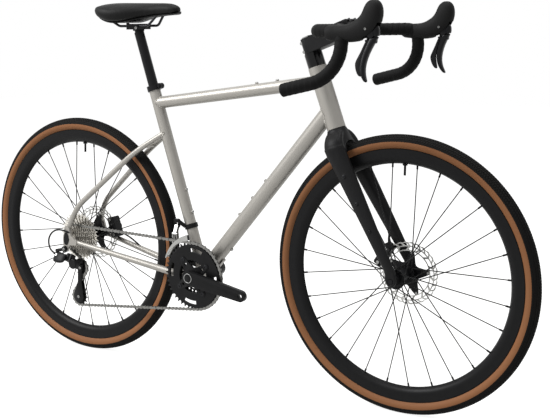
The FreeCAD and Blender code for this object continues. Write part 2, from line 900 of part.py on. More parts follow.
def spoke_ends(axle, flange_places, valve_angle):
    """Hub end, rim end and flange side of every spoke of a wheel."""
    step = 360.0 / spokes_per_side
    phase = valve_angle + step / 4
    ends = []
    for side, flange_place in enumerate(flange_places):
        outward = 1 if flange_place > 0 else -1
        for index in range(spokes_per_side):
            rim_angle = phase + step * index + side * step / 2
            leading = 1 if index % 2 == 0 else -1
            hub_angle = rim_angle + leading * spoke_crosses * step
            flange_side = outward * leading
            hub_end = axle + polar(hub_angle) * flange_hole_circle
            hub_end = hub_end + V(0, flange_place + flange_side * spoke_side_step, 0)
            rim_end = axle + polar(rim_angle) * (rim_inner_radius + nipple_seat)
            rim_end = rim_end + V(0, outward * spoke_rim_offset, 0)
            ends.append((hub_end, rim_end, flange_side))
    return ends


def spokes(axle, flange_places, valve_angle):
    solids = []
    for hub_end, rim_end, flange_side in spoke_ends(axle, flange_places, valve_angle):
        along = (rim_end - hub_end).normalize()
        through = V(0, -flange_side, 0)
        far = hub_end + through * (spoke_side_step + flange_half_thickness)
        wire = rod(hub_end, rim_end - along * nipple_length, spoke_radius)
        elbow = rod(hub_end, far, spoke_radius)
        ball = Part.makeSphere(spoke_radius, hub_end)
        head = rod(far, far + through * spoke_head_length, spoke_head_radius)
        solids.append(fuse([wire, elbow, ball, head]))
        nipple = rod(rim_end - along * nipple_length, rim_end, nipple_radius)
        cap = rod(rim_end, rim_end + along * nipple_head_length, nipple_head_radius)
        solids.append(fuse([nipple, cap]))
    return solids


def rim(axle, flange_places, valve_angle):
    ring = revolved(rim_section(axle, 0), axle)
    ring = ring.cut(revolved(rim_section(axle, rim_wall), axle))
    holes = []
    for hub_end, rim_end, _ in spoke_ends(axle, flange_places, valve_angle):
        along = (rim_end - hub_end).normalize()
        holes.append(rod(rim_end - along * nipple_length, rim_end, nipple_hole_radius))
    outward = polar(valve_angle)
    stem_foot = axle + outward * (rim_inner_radius - valve_reach)
    stem_top = axle + outward * (bead_seat_radius - rim_wall)
    holes.append(rod(stem_foot, axle + outward * (bead_seat_radius + overrun), valve_radius + fit_gap))
    ring = ring.cut(Part.makeCompound(holes))
    valve = rod(stem_foot, stem_top, valve_radius)
    nut_top = axle + outward * (rim_inner_radius - fit_gap)
    nut = rod(nut_top - outward * valve_nut_height, nut_top, valve_nut_radius)
    return [ring, fuse([valve, nut])]


def hub(axle, right_end, left_end, flange_places, rotor_place, valve_angle):
    """Hub shell with two flanges and a rotor boss, and the bearing at each end."""
    right_flange, left_flange = flange_places
    boss_low = rotor_place - rotor_boss_length + carrier_thickness
    boss_high = rotor_place + carrier_thickness / 2 + lockring_height
    pieces = [disc(axle, right_end, left_end, hub_end_radius),
              disc(axle, right_flange, left_flange, hub_body_radius),
              disc(axle, boss_low, boss_high, rotor_boss_radius)]
    for place in flange_places:
        pieces.append(disc(axle, place - flange_half_thickness, place + flange_half_thickness, flange_radius))
    shell = fuse(pieces).cut(disc(axle, right_end, left_end, hub_bore_radius))
    holes = []
    step = 360.0 / spokes_per_side
    for side, place in enumerate(flange_places):
        for index in range(spokes_per_side):
            angle = valve_angle + step / 4 + step * index + side * step / 2
            centre = axle + polar(angle) * flange_hole_circle
            holes.append(disc(centre, place - overrun / 4, place + overrun / 4, flange_hole_radius))
    shell = shell.cut(Part.makeCompound(holes))
    bearings = []
    for outer, inner in ((right_end, right_end + hub_bearing_width),
                         (left_end, left_end - hub_bearing_width)):
        bearings.append(disc(axle, outer, inner, hub_bore_radius, axle_radius + fit_gap))
    return [shell] + bearings


def rotor(axle, place):
    """Braking band, its star-shaped carrier and the lockring that holds it."""
    half = rotor_thickness / 2
    inner = rotor_radius - rotor_band_width
    band = disc(axle, place - half, place + half, rotor_radius, inner)
    holes = []
    for index in range(rotor_hole_count):
        centre = axle + polar(360.0 / rotor_hole_count * index) * (rotor_radius - rotor_band_width / 2)
        holes.append(disc(centre, place - half, place + half, rotor_hole_radius))
    band = band.cut(Part.makeCompound(holes))
    reach = inner - carrier_arm_gap
    middle = carrier_thickness / 2
    pieces = [disc(axle, place - middle, place + middle, carrier_radius)]
    for index in range(carrier_arm_count):
        angle = 360.0 / carrier_arm_count * index
        out = polar(angle)
        side = polar(angle + 90)
        arm = slab([axle + side * carrier_arm_base, axle + out * reach + side * carrier_arm_tip,
                    axle + out * reach - side * carrier_arm_tip, axle - side * carrier_arm_base],
                   place - half, place + half)
        pieces.append(arm.common(disc(axle, place - half, place + half, reach)))
    carrier = fuse(pieces).cut(disc(axle, place - middle, place + middle, rotor_boss_radius))
    ring = disc(axle, place + middle, place + middle + lockring_height, lockring_radius, rotor_boss_radius)
    return [band, carrier, ring]


# Chain path: pulleys, cogs and rings in the plane of the chain


def pitch_radius(teeth):
    return chain_pitch / (2 * math.sin(math.pi / teeth))


guide = rear_axle + V(guide_ahead, 0, -guide_drop)
cage_pivot = guide + V(cage_pivot_ahead, 0, cage_pivot_rise)


def chain_stops(cage_angle):
    """Sprockets in the chain's order: centre, teeth and turning sense seen from the drive side."""
    tension = guide - polar(90 - cage_angle) * cage_length
    return [(bb, big_ring_teeth, -1), (tension, tension_teeth, -1), (guide, guide_teeth, 1),
            (rear_axle, cog_teeth[chain_cog], -1)]


def heading(first, second):
    """Direction of the tangent run from one sprocket to the next, in radians."""
    apart = second[0] - first[0]
    shift = second[2] * pitch_radius(second[1]) - first[2] * pitch_radius(first[1])
    return math.atan2(apart.z, apart.x) - math.asin(shift / apart.Length)


def touch(stop, angle):
    left = V(-math.sin(angle), 0, math.cos(angle))
    return stop[0] - left * (stop[2] * pitch_radius(stop[1]))


def chain_spans(cage_angle):
    """Arcs and straight runs of the chain, each with its length counted in links."""
    stops = chain_stops(cage_angle)
    spans = []
    count = len(stops)
    for index, stop in enumerate(stops):
        arriving = heading(stops[index - 1], stop)
        leaving = heading(stop, stops[(index + 1) % count])
        turn = (leaving - arriving) * stop[2] % (2 * math.pi)
        spans.append(("arc", stop, touch(stop, arriving), turn * stop[1] / (2 * math.pi)))
        start = touch(stop, leaving)
        end = touch(stops[(index + 1) % count], leaving)
        spans.append(("run", stop, start, (end - start).Length / chain_pitch, (end - start).normalize()))
    return spans


def link_total(cage_angle):
    return sum(span[3] for span in chain_spans(cage_angle))


def solve_cage_angle():
    """Cage angle near its natural hang at which the chain closes with an even count of links."""
    low = cage_angle_low
    high = cage_angle_high
    wanted = 2 * round(link_total(natural_cage_angle) / 2)
    falling = link_total(low) > link_total(high)
    for _ in range(60):
        middle = (low + high) / 2
        if (link_total(middle) > wanted) == falling:
            low = middle
        else:
            high = middle
    return (low + high) / 2, wanted


cage_angle, chain_links = solve_cage_angle()
tension = chain_stops(cage_angle)[1][0]


def chain_pins():
    """Place of every chain pin, in order along the chain."""
    spans = chain_spans(cage_angle)
    pins = []
    passed = 0.0
    index = 0
    for number in range(chain_links):
        while number - passed >= spans[index][3]:
            passed += spans[index][3]
            index += 1
        span = spans[index]
        ahead = number - passed
        if span[0] == "arc":
            stop = span[1]
            turn = math.degrees(ahead * 2 * math.pi / stop[1]) * stop[2]
            pins.append(stop[0] + turned(span[2] - stop[0], turn))
        else:
            pins.append(span[2] + span[4] * (ahead * chain_pitch))
    return pins


def turned(arm, angle):
    """Vector of the XZ plane turned from +X towards +Z, in degrees."""
    c = math.cos(math.radians(angle))
    s = math.sin(math.radians(angle))
    return V(arm.x * c - arm.z * s, arm.y, arm.x * s + arm.z * c)


def valley_angle(centre, teeth):
    """Angle of a roller that lies on a sprocket, so that its teeth fall between the rollers."""
    spans = chain_spans(cage_angle)
    passed = 0.0
    for span in spans:
        if span[0] == "arc" and (span[1][0] - centre).Length < chain_pitch / 2:
            first = math.ceil(passed) - passed
            turn = first * 360.0 / teeth * span[1][2]
            arm = turned(span[2] - centre, turn)
            return math.degrees(math.atan2(arm.z, arm.x))
        passed += span[3]
    return 0.0


def sprocket(centre, teeth, phase, near, far, height, bore):
    """Toothed disc: a round seat for each roller and a blunt tooth between two seats."""
    pitch = pitch_radius(teeth)
    step = 360.0 / teeth
    tip_angle = math.degrees(tooth_tip_half / (pitch + height))
    low = min(near, far)
    edges = []
    corners = []
    for index in range(teeth):
        angle = phase + step * index
        seat = polar(angle) * pitch
        start = seat + polar(angle + 180 + tooth_valley_angle) * tooth_valley_radius
        middle = seat + polar(angle + 180) * tooth_valley_radius
        end = seat + polar(angle + 180 - tooth_valley_angle) * tooth_valley_radius
        tip_first = polar(angle + step / 2 - tip_angle) * (pitch + height)
        tip_last = polar(angle + step / 2 + tip_angle) * (pitch + height)
        corners.append((start, middle, end, tip_first, tip_last))
    base = V(centre.x, low, centre.z)
    for index, (start, middle, end, tip_first, tip_last) in enumerate(corners):
        following = corners[(index + 1) % teeth][0]
        edges.append(Part.Arc(base + start, base + middle, base + end).toShape())
        edges.append(Part.LineSegment(base + end, base + tip_first).toShape())
        edges.append(Part.LineSegment(base + tip_first, base + tip_last).toShape())
        edges.append(Part.LineSegment(base + tip_last, base + following).toShape())
    blank = Part.Face(Part.Wire(edges)).extrude(V(0, abs(far - near), 0))
    return blank.cut(disc(centre, near, far, bore))


def link_plates(near, far):
    """Both figure-of-eight plates of a link that starts at the origin and runs along +X."""
    end = V(chain_pitch, 0, 0)
    plates = []
    for low, high in ((near, far), (-far, -near)):
        waist = Part.makeBox(chain_pitch, high - low, plate_waist * 2, V(0, low, -plate_waist))
        ends = [disc(place, low, high, plate_radius) for place in (ORIGIN, end)]
        plates.append(fuse(ends + [waist]))
    return plates


def outer_link():
    pieces = link_plates(outer_plate_near, outer_plate_far)
    for place in (ORIGIN, V(chain_pitch, 0, 0)):
        pieces.append(disc(place, -outer_plate_near, outer_plate_near, pin_radius))
    return fuse(pieces)


def inner_link():
    pieces = link_plates(inner_plate_near, inner_plate_far)
    holes = []
    for place in (ORIGIN, V(chain_pitch, 0, 0)):
        pieces.append(disc(place, -inner_plate_near, inner_plate_near, roller_radius))
        holes.append(disc(place, -inner_plate_far, inner_plate_far, pin_bore_radius))
    return fuse(pieces).cut(Part.makeCompound(holes))


def chain():
    pins = chain_pins()
    patterns = [outer_link(), inner_link()]
    solids = []
    for index, pin in enumerate(pins):
        along = pins[(index + 1) % chain_links] - pin
        link = patterns[index % 2].copy()
        link.rotate(ORIGIN, ALONG_Y, -math.degrees(math.atan2(along.z, along.x)))
        link.translate(V(pin.x, -chain_line, pin.z))
        solids.append(link)
    print("chain links", chain_links, "cage angle", round(cage_angle, 3))
    return solids


def cassette():
    solids = []
    half = tooth_thickness / 2
    bore = freehub_radius
    for index, teeth in enumerate(cog_teeth):
        place = -chain_line - (chain_cog - index) * cog_step
        phase = valley_angle(rear_axle, teeth) if index == chain_cog else 0.0
        solids.append(sprocket(rear_axle, teeth, phase, place - half, place + half, tooth_height, bore))
    first = -chain_line - chain_cog * cog_step
    body = disc(rear_axle, -freehub_end, -freehub_start, freehub_radius, axle_radius + fit_gap)
    ring_face = first - half
    ring = disc(rear_axle, ring_face - half, ring_face, cassette_lockring_radius, freehub_radius)
    return solids + [body, ring]


# Crank


def ring_with_tabs(teeth, place, band, bolt_circle, phase):
    """Chainring with bolt tabs, each with its hole, and a bolt in each tab."""
    half = tooth_thickness / 2
    inner = pitch_radius(teeth) - band
    ring = sprocket(bb, teeth, phase, place - half, place + half, tooth_height, inner)
    tabs = []
    holes = []
    bolts = []
    for index in range(ring_arm_count):
        angle = crank_angle + spider_angle + 360.0 / ring_arm_count * index
        seat = bb + polar(angle) * bolt_circle
        root = bb + polar(angle) * (inner + ring_tab_radius / 2)
        tabs.append(bone(seat, ring_tab_radius, root, ring_tab_radius + half, place - half, place + half))
        holes.append(disc(seat, place - half, place + half, ring_bolt_radius))
        bolts.append(seat)
    return fuse([ring] + tabs).cut(Part.makeCompound(holes)), bolts


def chainrings():
    half = tooth_thickness / 2
    big, big_seats = ring_with_tabs(big_ring_teeth, -chain_line, big_ring_band, big_ring_bolt_circle,
                                    valley_angle(bb, big_ring_teeth))
    small_place = -chain_line + small_ring_step
    small, small_seats = ring_with_tabs(small_ring_teeth, small_place, small_ring_band,
                                        small_ring_bolt_circle, crank_angle)
    bolts = []
    for seat in big_seats:
        shank = disc(seat, -chain_line - half - spider_thickness, -chain_line + half, ring_bolt_radius)
        head = disc(seat, -chain_line + half, -chain_line + half + ring_bolt_head, ring_bolt_head_radius)
        bolts.append(fuse([shank, head]))
    for seat in small_seats:
        shank = disc(seat, -chain_line - half, small_place + half, ring_bolt_radius)
        head = disc(seat, small_place + half, small_place + half + ring_bolt_head, ring_bolt_head_radius)
        bolts.append(fuse([shank, head]))
    return [big, small] + bolts


def crank_blade(angle, near, far, pedal_inner, pedal_outer):
    """Crank arm at an angle, with its boss, and the threaded hole for a pedal."""
    pedal = bb + polar(angle) * crank_length
    middle = bb + polar(angle) * (crank_length / 2)
    root = bone(bb, crank_boss_radius, middle, (crank_boss_radius + crank_end_radius) / 2, near, far)
    tip = bone(middle, (crank_boss_radius + crank_end_radius) / 2, pedal, crank_end_radius,
               pedal_inner, pedal_outer)
    thread = disc(pedal, -crank_face - overrun, crank_face + overrun, pedal_thread_radius)
    return fuse([root, tip]).cut(thread)


def right_crank_arm():
    spider_far = -chain_line - tooth_thickness / 2
    spider_near = spider_far - spider_thickness
    face = -crank_face
    root_near = face + crank_arm_thickness * crank_root_share
    arm = crank_blade(crank_angle, root_near, face, face + crank_arm_thickness, face)
    boss_piece = disc(bb, -crank_boss_inner, face, crank_boss_radius)
    pieces = [arm, boss_piece]
    for index in range(ring_arm_count):
        angle = crank_angle + spider_angle + 360.0 / ring_arm_count * index
        seat = bb + polar(angle) * big_ring_bolt_circle
        pieces.append(bone(bb, crank_boss_radius, seat, spider_arm_half, spider_near, spider_far))
    body = fuse(pieces)
    holes = [disc(bb, -crank_face - overrun, -crank_boss_inner + overrun, spindle_radius)]
    for index in range(ring_arm_count):
        angle = crank_angle + spider_angle + 360.0 / ring_arm_count * index
        for bolt_circle in (big_ring_bolt_circle, small_ring_bolt_circle):
            seat = bb + polar(angle) * bolt_circle
            holes.append(disc(seat, spider_near, spider_far, ring_bolt_radius))
    body = body.cut(Part.makeCompound(holes))
    spindle = disc(bb, -crank_face, spindle_half_length, spindle_radius, spindle_bore_radius)
    cap = disc(bb, -crank_face - crank_cap_height, -crank_face, crank_cap_radius)
    return [body, spindle, cap]


def left_crank_arm():
    face = crank_face
    arm = crank_blade(crank_angle + 180, face - crank_arm_thickness, face, face - crank_arm_thickness, face)
    boss_piece = disc(bb, crank_boss_inner, face, crank_boss_radius)
    body = fuse([arm, boss_piece]).cut(disc(bb, crank_boss_inner, face, spindle_radius))
    cap = disc(bb, face - crank_cap_height, face, crank_cap_radius - crank_cap_height)
    return [body, cap.common(disc(bb, spindle_half_length, face, crank_cap_radius))]


# Rear derailleur

link_base = rear_axle + V(-link_base_back, -link_base_offset, -link_base_drop)
slant = math.radians(derailleur_slant)
link_inward = V(0, math.cos(slant), -math.sin(slant))
link_axis = V(0, math.sin(slant), math.cos(slant))


def from_links(x, inward, along):
    """Point in the parallelogram's own directions, measured from its first pivot."""
    return link_base + V(x, 0, 0) + link_inward * inward + link_axis * along


def link_ears(x, web_side):
    """Two ears with both pins of one end of the parallelogram, and the web that joins them."""
    pieces = []
    ear_near = link_half_width + free_gap
    ear_far = ear_near + link_ear_thickness
    for low, high in ((ear_near, ear_far), (-ear_far, -ear_near)):
        face = bone_face(from_links(x, 0, low), link_ear_radius,
                         from_links(x, derailleur_link_gap, low), link_ear_radius, link_axis)
        pieces.append(face.extrude(link_axis * (high - low)))
        last = x + web_side * (link_web_gap + link_web_thickness)
        pieces.append(link_block(x, last, -link_ear_radius / 2,
                                 derailleur_link_gap + link_ear_radius / 2, low, high))
    for inward in (0, derailleur_link_gap):
        pieces.append(rod(from_links(x, inward, -ear_far), from_links(x, inward, ear_far), link_pin_radius))
    near = x + web_side * link_web_gap
    far = x + web_side * (link_web_gap + link_web_thickness)
    pieces.append(link_block(near, far, -link_ear_radius / 2, derailleur_link_gap + link_ear_radius / 2,
                             -ear_far, ear_far))
    return pieces


def link_block(x_first, x_last, inward_low, inward_high, along_low, along_high):
    """Box in the parallelogram's own directions."""
    low = min(x_first, x_last)
    high = max(x_first, x_last)
    corners = [from_links(low, inward_low, along_low), from_links(high, inward_low, along_low),
               from_links(high, inward_high, along_low), from_links(low, inward_high, along_low)]
    return wire_face(corners).extrude(link_axis * (along_high - along_low))


def derailleur_link(inward):
    """One link: a plate with a barrel at each end, bored for the pins."""
    pieces = [link_block(0, derailleur_link_length, inward - link_plate_half, inward + link_plate_half,
                         -link_half_width, link_half_width)]
    bores = []
    for x in (0, derailleur_link_length):
        low = from_links(x, inward, -link_half_width)
        high = from_links(x, inward, link_half_width)
        pieces.append(rod(low, high, link_barrel_radius))
        bores.append(rod(low, high, link_pin_radius + free_gap / 2))
    return [fuse(pieces).cut(Part.makeCompound(bores))]


def derailleur_b_knuckle():
    outer = -dropout_outer - free_gap
    barrel = disc(hanger, outer - b_knuckle_length, outer, b_knuckle_radius)
    stub = disc(hanger, outer, -dropout_inner, hanger_bolt_radius)
    rise = link_half_width + free_gap + link_ear_thickness + b_knuckle_arm_radius / 2
    web_middle = -(link_web_gap + link_web_thickness / 2)
    elbow = from_links(web_middle, -link_ear_radius, rise)
    arm = rod(elbow, V(hanger.x, outer - b_knuckle_length / 2, hanger.z), b_knuckle_arm_radius)
    arm = arm.cut(disc(hanger, outer, -dropout_inner, b_knuckle_radius * 2))
    stop = rod(from_links(web_middle, 0, 0), elbow, b_knuckle_arm_radius / 2)
    return [fuse([barrel, stub, arm, stop] + link_ears(0, -1))]


def derailleur_p_knuckle():
    x = derailleur_link_length
    barrel = disc(cage_pivot, -p_knuckle_far, -p_knuckle_near, p_knuckle_radius)
    web_middle = x + link_web_gap + link_web_thickness / 2
    arm = rod(from_links(web_middle, derailleur_link_gap, 0),
              V(cage_pivot.x, -(p_knuckle_far + p_knuckle_near) / 2, cage_pivot.z), p_knuckle_radius / 2)
    body = fuse([barrel, arm] + link_ears(x, 1))
    return [body.cut(disc(cage_pivot, -p_knuckle_far, -p_knuckle_near, cage_shaft_radius + fit_gap))]


def derailleur_cage():
    outer_far = -chain_line - cage_plate_gap - cage_plate_thickness
    outer_near = -chain_line - cage_plate_gap
    inner_near = -chain_line + cage_plate_gap
    inner_far = inner_near + cage_plate_thickness
    waist = (guide + tension) / 2
    plates = []
    for low, high in ((outer_far, outer_near), (inner_near, inner_far)):
        plates.append(bone(guide, cage_top_radius, waist, cage_waist_radius, low, high))
        plates.append(bone(waist, cage_waist_radius, tension, cage_low_radius, low, high))
    hinge = bone(cage_pivot, cage_top_radius, guide, cage_top_radius, outer_far, outer_near)
    shaft = disc(cage_pivot, -p_knuckle_far, outer_near, cage_shaft_radius)
    pieces = plates + [hinge, shaft]
    for centre in (guide, tension):
        pieces.append(disc(centre, outer_far, inner_far, pulley_bolt_radius))
    return [fuse(pieces)]


def pulley(centre, teeth):
    half = tooth_thickness / 2
    hub_half = cage_plate_gap - free_gap
    phase = valley_angle(centre, teeth)
    bore = pulley_bolt_radius + fit_gap
    disc_part = sprocket(centre, teeth, phase, -chain_line - half, -chain_line + half,
                         pulley_tooth_height, bore)
    boss_part = disc(centre, -chain_line - hub_half, -chain_line + hub_half, pulley_hub_radius, bore)
    return [fuse([disc_part, boss_part])]


# Front derailleur

front_pivot = bb + V(-front_mech_pivot_back, -front_mech_pivot_offset, front_mech_pivot_rise)
front_cage_pivot = front_pivot + V(0, -front_mech_link_out, -front_mech_link_down)


def front_ears(pivot):
    """Two ears and a pin along X about a pivot of the front derailleur."""
    near = front_mech_link_half + free_gap
    far = near + front_mech_ear_thickness
    pieces = [rod(pivot + V(-far, 0, 0), pivot + V(far, 0, 0), front_mech_pin_radius)]
    for low, high in ((near, far), (-far, -near)):
        pieces.append(rod(pivot + V(low, 0, 0), pivot + V(high, 0, 0), front_mech_barrel_radius))
    return pieces


def front_derailleur_body():
    low = bb + seat_up * (front_mech_station - front_mech_band_height / 2)
    high = low + seat_up * front_mech_band_height
    band = tube(low, high, seat_tube_radius + front_mech_band, seat_tube_radius + fit_gap)
    middle = (low + high) / 2
    far = front_mech_link_half + free_gap + front_mech_ear_thickness
    lift = V(0, 0, front_mech_lift)
    over = front_pivot + lift
    arm = rod(middle + V(-seat_tube_radius / 2, -seat_tube_radius, 0), over, front_mech_arm_radius)
    roof = Part.makeBox(far * 2, front_mech_barrel_radius * 2, front_mech_arm_radius,
                        over + V(-far, -front_mech_barrel_radius, -front_mech_arm_radius / 2))
    pieces = [band, arm, roof] + front_ears(front_pivot)
    for side in (-1, 1):
        ear_low = min(side * far, side * (far - front_mech_ear_thickness))
        pieces.append(Part.makeBox(front_mech_ear_thickness, front_mech_barrel_radius * 2, lift.z,
                                   front_pivot + V(ear_low, -front_mech_barrel_radius, 0)))
    post = rod(bb, seat_top, seat_tube_radius + fit_gap)
    return [fuse(pieces).cut(post)]


def front_derailleur_link():
    half = front_mech_link_half
    face = bone_face(front_pivot + V(-half, 0, 0), front_mech_barrel_radius,
                     front_cage_pivot + V(-half, 0, 0), front_mech_barrel_radius, ALONG_X)
    link = face.extrude(V(half * 2, 0, 0))
    for pivot in (front_pivot, front_cage_pivot):
        link = link.cut(rod(pivot + V(-half, 0, 0), pivot + V(half, 0, 0),
                            front_mech_pin_radius + free_gap / 2))
    return [link]


def ring_sector(inner, outer, first, last, near, far, end_height):
    """Plate that follows the big chainring between two angles and narrows towards the last."""
    middle = (first + last) / 2
    tail_outer = inner + end_height
    low = min(near, far)
    base = V(bb.x, low, bb.z)
    start_in = base + polar(first) * inner
    end_in = base + polar(last) * inner
    end_out = base + polar(last) * tail_outer
    start_out = base + polar(first) * outer
    edges = [Part.Arc(start_in, base + polar(middle) * inner, end_in).toShape(),
             Part.LineSegment(end_in, end_out).toShape(),
             Part.Arc(end_out, base + polar(middle) * ((outer + tail_outer) / 2), start_out).toShape(),
             Part.LineSegment(start_out, start_in).toShape()]
    return Part.Face(Part.Wire(edges)).extrude(V(0, abs(far - near), 0))


def front_derailleur_cage():
    inner = pitch_radius(big_ring_teeth) + plate_radius + front_cage_clearance
    outer = inner + front_cage_height
    plates = []
    for sign in (-1, 1):
        near = -chain_line + sign * front_cage_gap
        plates.append(ring_sector(inner, outer, front_cage_start_angle, front_cage_end_angle,
                                  near, near + sign * front_cage_plate, front_cage_tail_height))
    first = -chain_line - front_cage_gap - front_cage_plate
    last = -chain_line + front_cage_gap + front_cage_plate
    top = bb + polar(front_cage_start_angle + front_cage_bridge) * (outer - front_cage_bridge / 2)
    tail = bb + polar(front_cage_end_angle - front_cage_plate) * (inner + front_cage_tail_height / 2)
    bridges = [disc(top, first, last, front_cage_bridge / 2), disc(tail, first, last, front_cage_bridge / 2)]
    far = front_mech_link_half + free_gap + front_mech_ear_thickness
    pieces = plates + bridges + front_ears(front_cage_pivot)
    foot = V(front_cage_pivot.x, last - front_cage_plate, front_cage_pivot.z)
    for side in (-1, 1):
        ear_low = min(side * far, side * (far - front_mech_ear_thickness))
        corner = front_cage_pivot + V(ear_low, -front_mech_barrel_radius, -front_cage_drop)
        pieces.append(Part.makeBox(front_mech_ear_thickness, front_mech_barrel_radius * 2,
                                   front_cage_drop, corner))
    pieces.append(Part.makeBox(far * 2, abs(foot.y - front_cage_pivot.y) + front_mech_barrel_radius,
                               front_mech_ear_thickness,
                               V(front_cage_pivot.x - far, foot.y, front_cage_pivot.z - front_cage_drop)))
    return [fuse(pieces)]


# Fork and steering


def fork_leg(side):
    """Flat-sided leg from inside the crown to just above the axle."""
    top = head_bottom - steer_up * (crown_gap + leg_top_depth) + V(0, side * leg_top_offset, 0)
    foot = front_axle + V(-leg_foot_back, side * leg_foot_offset, leg_foot_rise)
    sections = [ellipse_wire(top, steer_ahead * leg_top_half_length, V(0, leg_top_half_width, 0)),
                ellipse_wire(foot, steer_ahead * leg_foot_half_length, V(0, leg_foot_half_width, 0))]
    return Part.makeLoft(sections, True, True)


def fork():
    base = head_bottom - steer_up * crown_gap
    steerer_top = stem_base + steer_up * stem_height
    shoulder = base - steer_up * crown_shoulder_depth + steer_ahead * leg_foot_back
    crown_rings = [Part.Wire(Part.makeCircle(crown_top_radius, base, steer_up)),
                   ellipse_wire(shoulder, V(0, crown_shoulder_half, 0), steer_ahead * crown_shoulder_length)]
    middle_drop = base - steer_up * (crown_shoulder_depth / 2)
    crown_rings.insert(1, ellipse_wire(middle_drop, V(0, (crown_top_radius + crown_shoulder_half) / 2, 0),
                                       steer_ahead * crown_half_length))
    crown = Part.makeLoft(crown_rings, True, False)
    pieces = [crown]
    foot_middle = front_axle + V(0, 0, leg_foot_rise)
    for side in (-1, 1):
        pieces.append(fork_leg(side))
        end_near = side * front_spacing / 2
        end_far = side * (front_spacing / 2 + fork_end_thickness)
        pieces.append(bone(front_axle, fork_end_radius, foot_middle + V(-leg_foot_back, 0, 0),
                           leg_foot_half_length, end_near, end_far))
    pieces.append(rod(base - steer_up * crown_gap, steerer_top, steerer_radius))
    body = pieces[0].multiFuse(pieces[1:])
    tunnel = disc(front_axle, -tunnel_half_width, tunnel_half_width, wheel_radius + tunnel_clearance)
    rims = [edge for edge in tunnel.Edges if edge.Curve.TypeId == "Part::GeomCircle"]
    tunnel = tunnel.makeFillet(tunnel_round, rims)
    body = body.cut(tunnel)
    bore_foot = head_bottom + steer_up * headset_bearing_height
    body = body.cut(rod(bore_foot, steerer_top, steerer_radius - steerer_wall))
    body = body.cut(disc(front_axle, -front_spacing, front_spacing, axle_radius + fit_gap))
    inserts = []
    for side in (-1, 1):
        for step in range(fork_boss_count):
            rise = fork_boss_rise + step * boss_spacing
            insert, hole = fork_boss(side, rise)
            body = body.cut(hole)
            inserts.append(insert)
    main = max(body.Solids, key=lambda piece: piece.Volume)
    return [main] + inserts


def leg_point(side, rise):
    """Middle of a fork leg at a height above the axle."""
    top = head_bottom - steer_up * (crown_gap + leg_top_depth) + V(0, side * leg_top_offset, 0)
    foot = front_axle + V(-leg_foot_back, side * leg_foot_offset, leg_foot_rise)
    share = (rise - leg_foot_rise) / (top.z - foot.z)
    place = foot + (top - foot) * share
    half = leg_foot_half_width + (leg_top_half_width - leg_foot_half_width) * share
    return place, half


def fork_boss(side, rise):
    place, half = leg_point(side, rise)
    outward = V(0, side, 0)
    top = place + outward * (half + boss_height / 2)
    foot = top - outward * boss_depth
    return tube(foot, top, boss_radius, boss_thread_radius), rod(foot, top, boss_radius)


def headset_spacers():
    rings = []
    for index in range(spacer_count):
        base = spacer_base + steer_up * (index * (spacer_height + spacer_gap))
        rings.append(tube(base, base + steer_up * spacer_height, spacer_radius, steerer_radius + fit_gap))
    return rings


def stem_box(length_first, length_last, half_width, height):
    """Box along the stem, centred on its middle line."""
    up = steer_up * (height / 2)
    first = stem_middle + steer_ahead * length_first
    last = stem_middle + steer_ahead * length_last
    side = V(0, half_width, 0)
    return wire_face([first - up - side, last - up - side, last + up - side,
                      first + up - side]).extrude(V(0, half_width * 2, 0))


def clamp_bolt_places():
    places = []
    for rise in (-clamp_bolt_rise, clamp_bolt_rise):
        for offset in (-clamp_bolt_offset, clamp_bolt_offset):
            places.append(bar_middle + steer_up * rise + V(0, offset, 0))
    return places


def pinch_bolt_places():
    return [stem_middle + steer_up * rise - steer_ahead * (stem_half_width - clamp_bolt_head)
            for rise in (-pinch_bolt_rise, pinch_bolt_rise)]


def stem():
    steer_barrel = rod(stem_base + steer_up * spacer_gap, stem_base + steer_up * stem_height, stem_half_width)
    body = stem_box(0, stem_length, stem_half_width, stem_body_height)
    clamp_rise = (clamp_bolt_rise + clamp_bolt_head_radius) * 2
    clamp = stem_box(stem_length - stem_clamp_radius, stem_length + stem_clamp_radius * stem_front_share,
                     stem_clamp_half, clamp_rise)
    crosswise = [edge for edge in clamp.Edges if edge.tangentAt(0).isParallel(ALONG_Y, math.radians(1))]
    clamp = clamp.makeFillet(clamp_bolt_head_radius, crosswise)
    whole = fuse([steer_barrel, body, clamp])
    bar = disc(bar_middle, -stem_clamp_half - overrun, stem_clamp_half + overrun, bar_clamp_radius + fit_gap)
    whole = whole.cut(bar).cut(rod(head_bottom, stem_base + steer_up * (stem_height + overrun),
                                   steerer_radius + fit_gap))
    front_box = stem_box(stem_length + faceplate_gap, stem_length + stem_clamp_radius * 2,
                         stem_clamp_half + overrun, clamp_rise * 2)
    gap_box = stem_box(stem_length, stem_length + stem_clamp_radius * 2,
                       stem_clamp_half + overrun, clamp_rise * 2)
    holes = []
    for place in clamp_bolt_places():
        holes.append(rod(place - steer_ahead * stem_clamp_radius,
                         place + steer_ahead * (stem_clamp_radius * 2), clamp_bolt_radius + fit_gap))
    for place in pinch_bolt_places():
        holes.append(rod(place + V(0, -stem_half_width * 2, 0), place + V(0, stem_half_width * 2, 0),
                         clamp_bolt_radius + fit_gap))
        holes.append(rod(place + V(0, -stem_half_width * 2, 0), place + V(0, -pinch_bolt_reach, 0),
                         clamp_bolt_head_radius + fit_gap))
    holes = Part.makeCompound(holes)
    slot = stem_box(-stem_half_width - overrun, -steerer_radius / 2, faceplate_gap / 2, stem_height * 2)
    rear = whole.cut(gap_box).cut(holes).cut(slot)
    face = whole.common(front_box).cut(holes)
    return rear.Solids + face.Solids


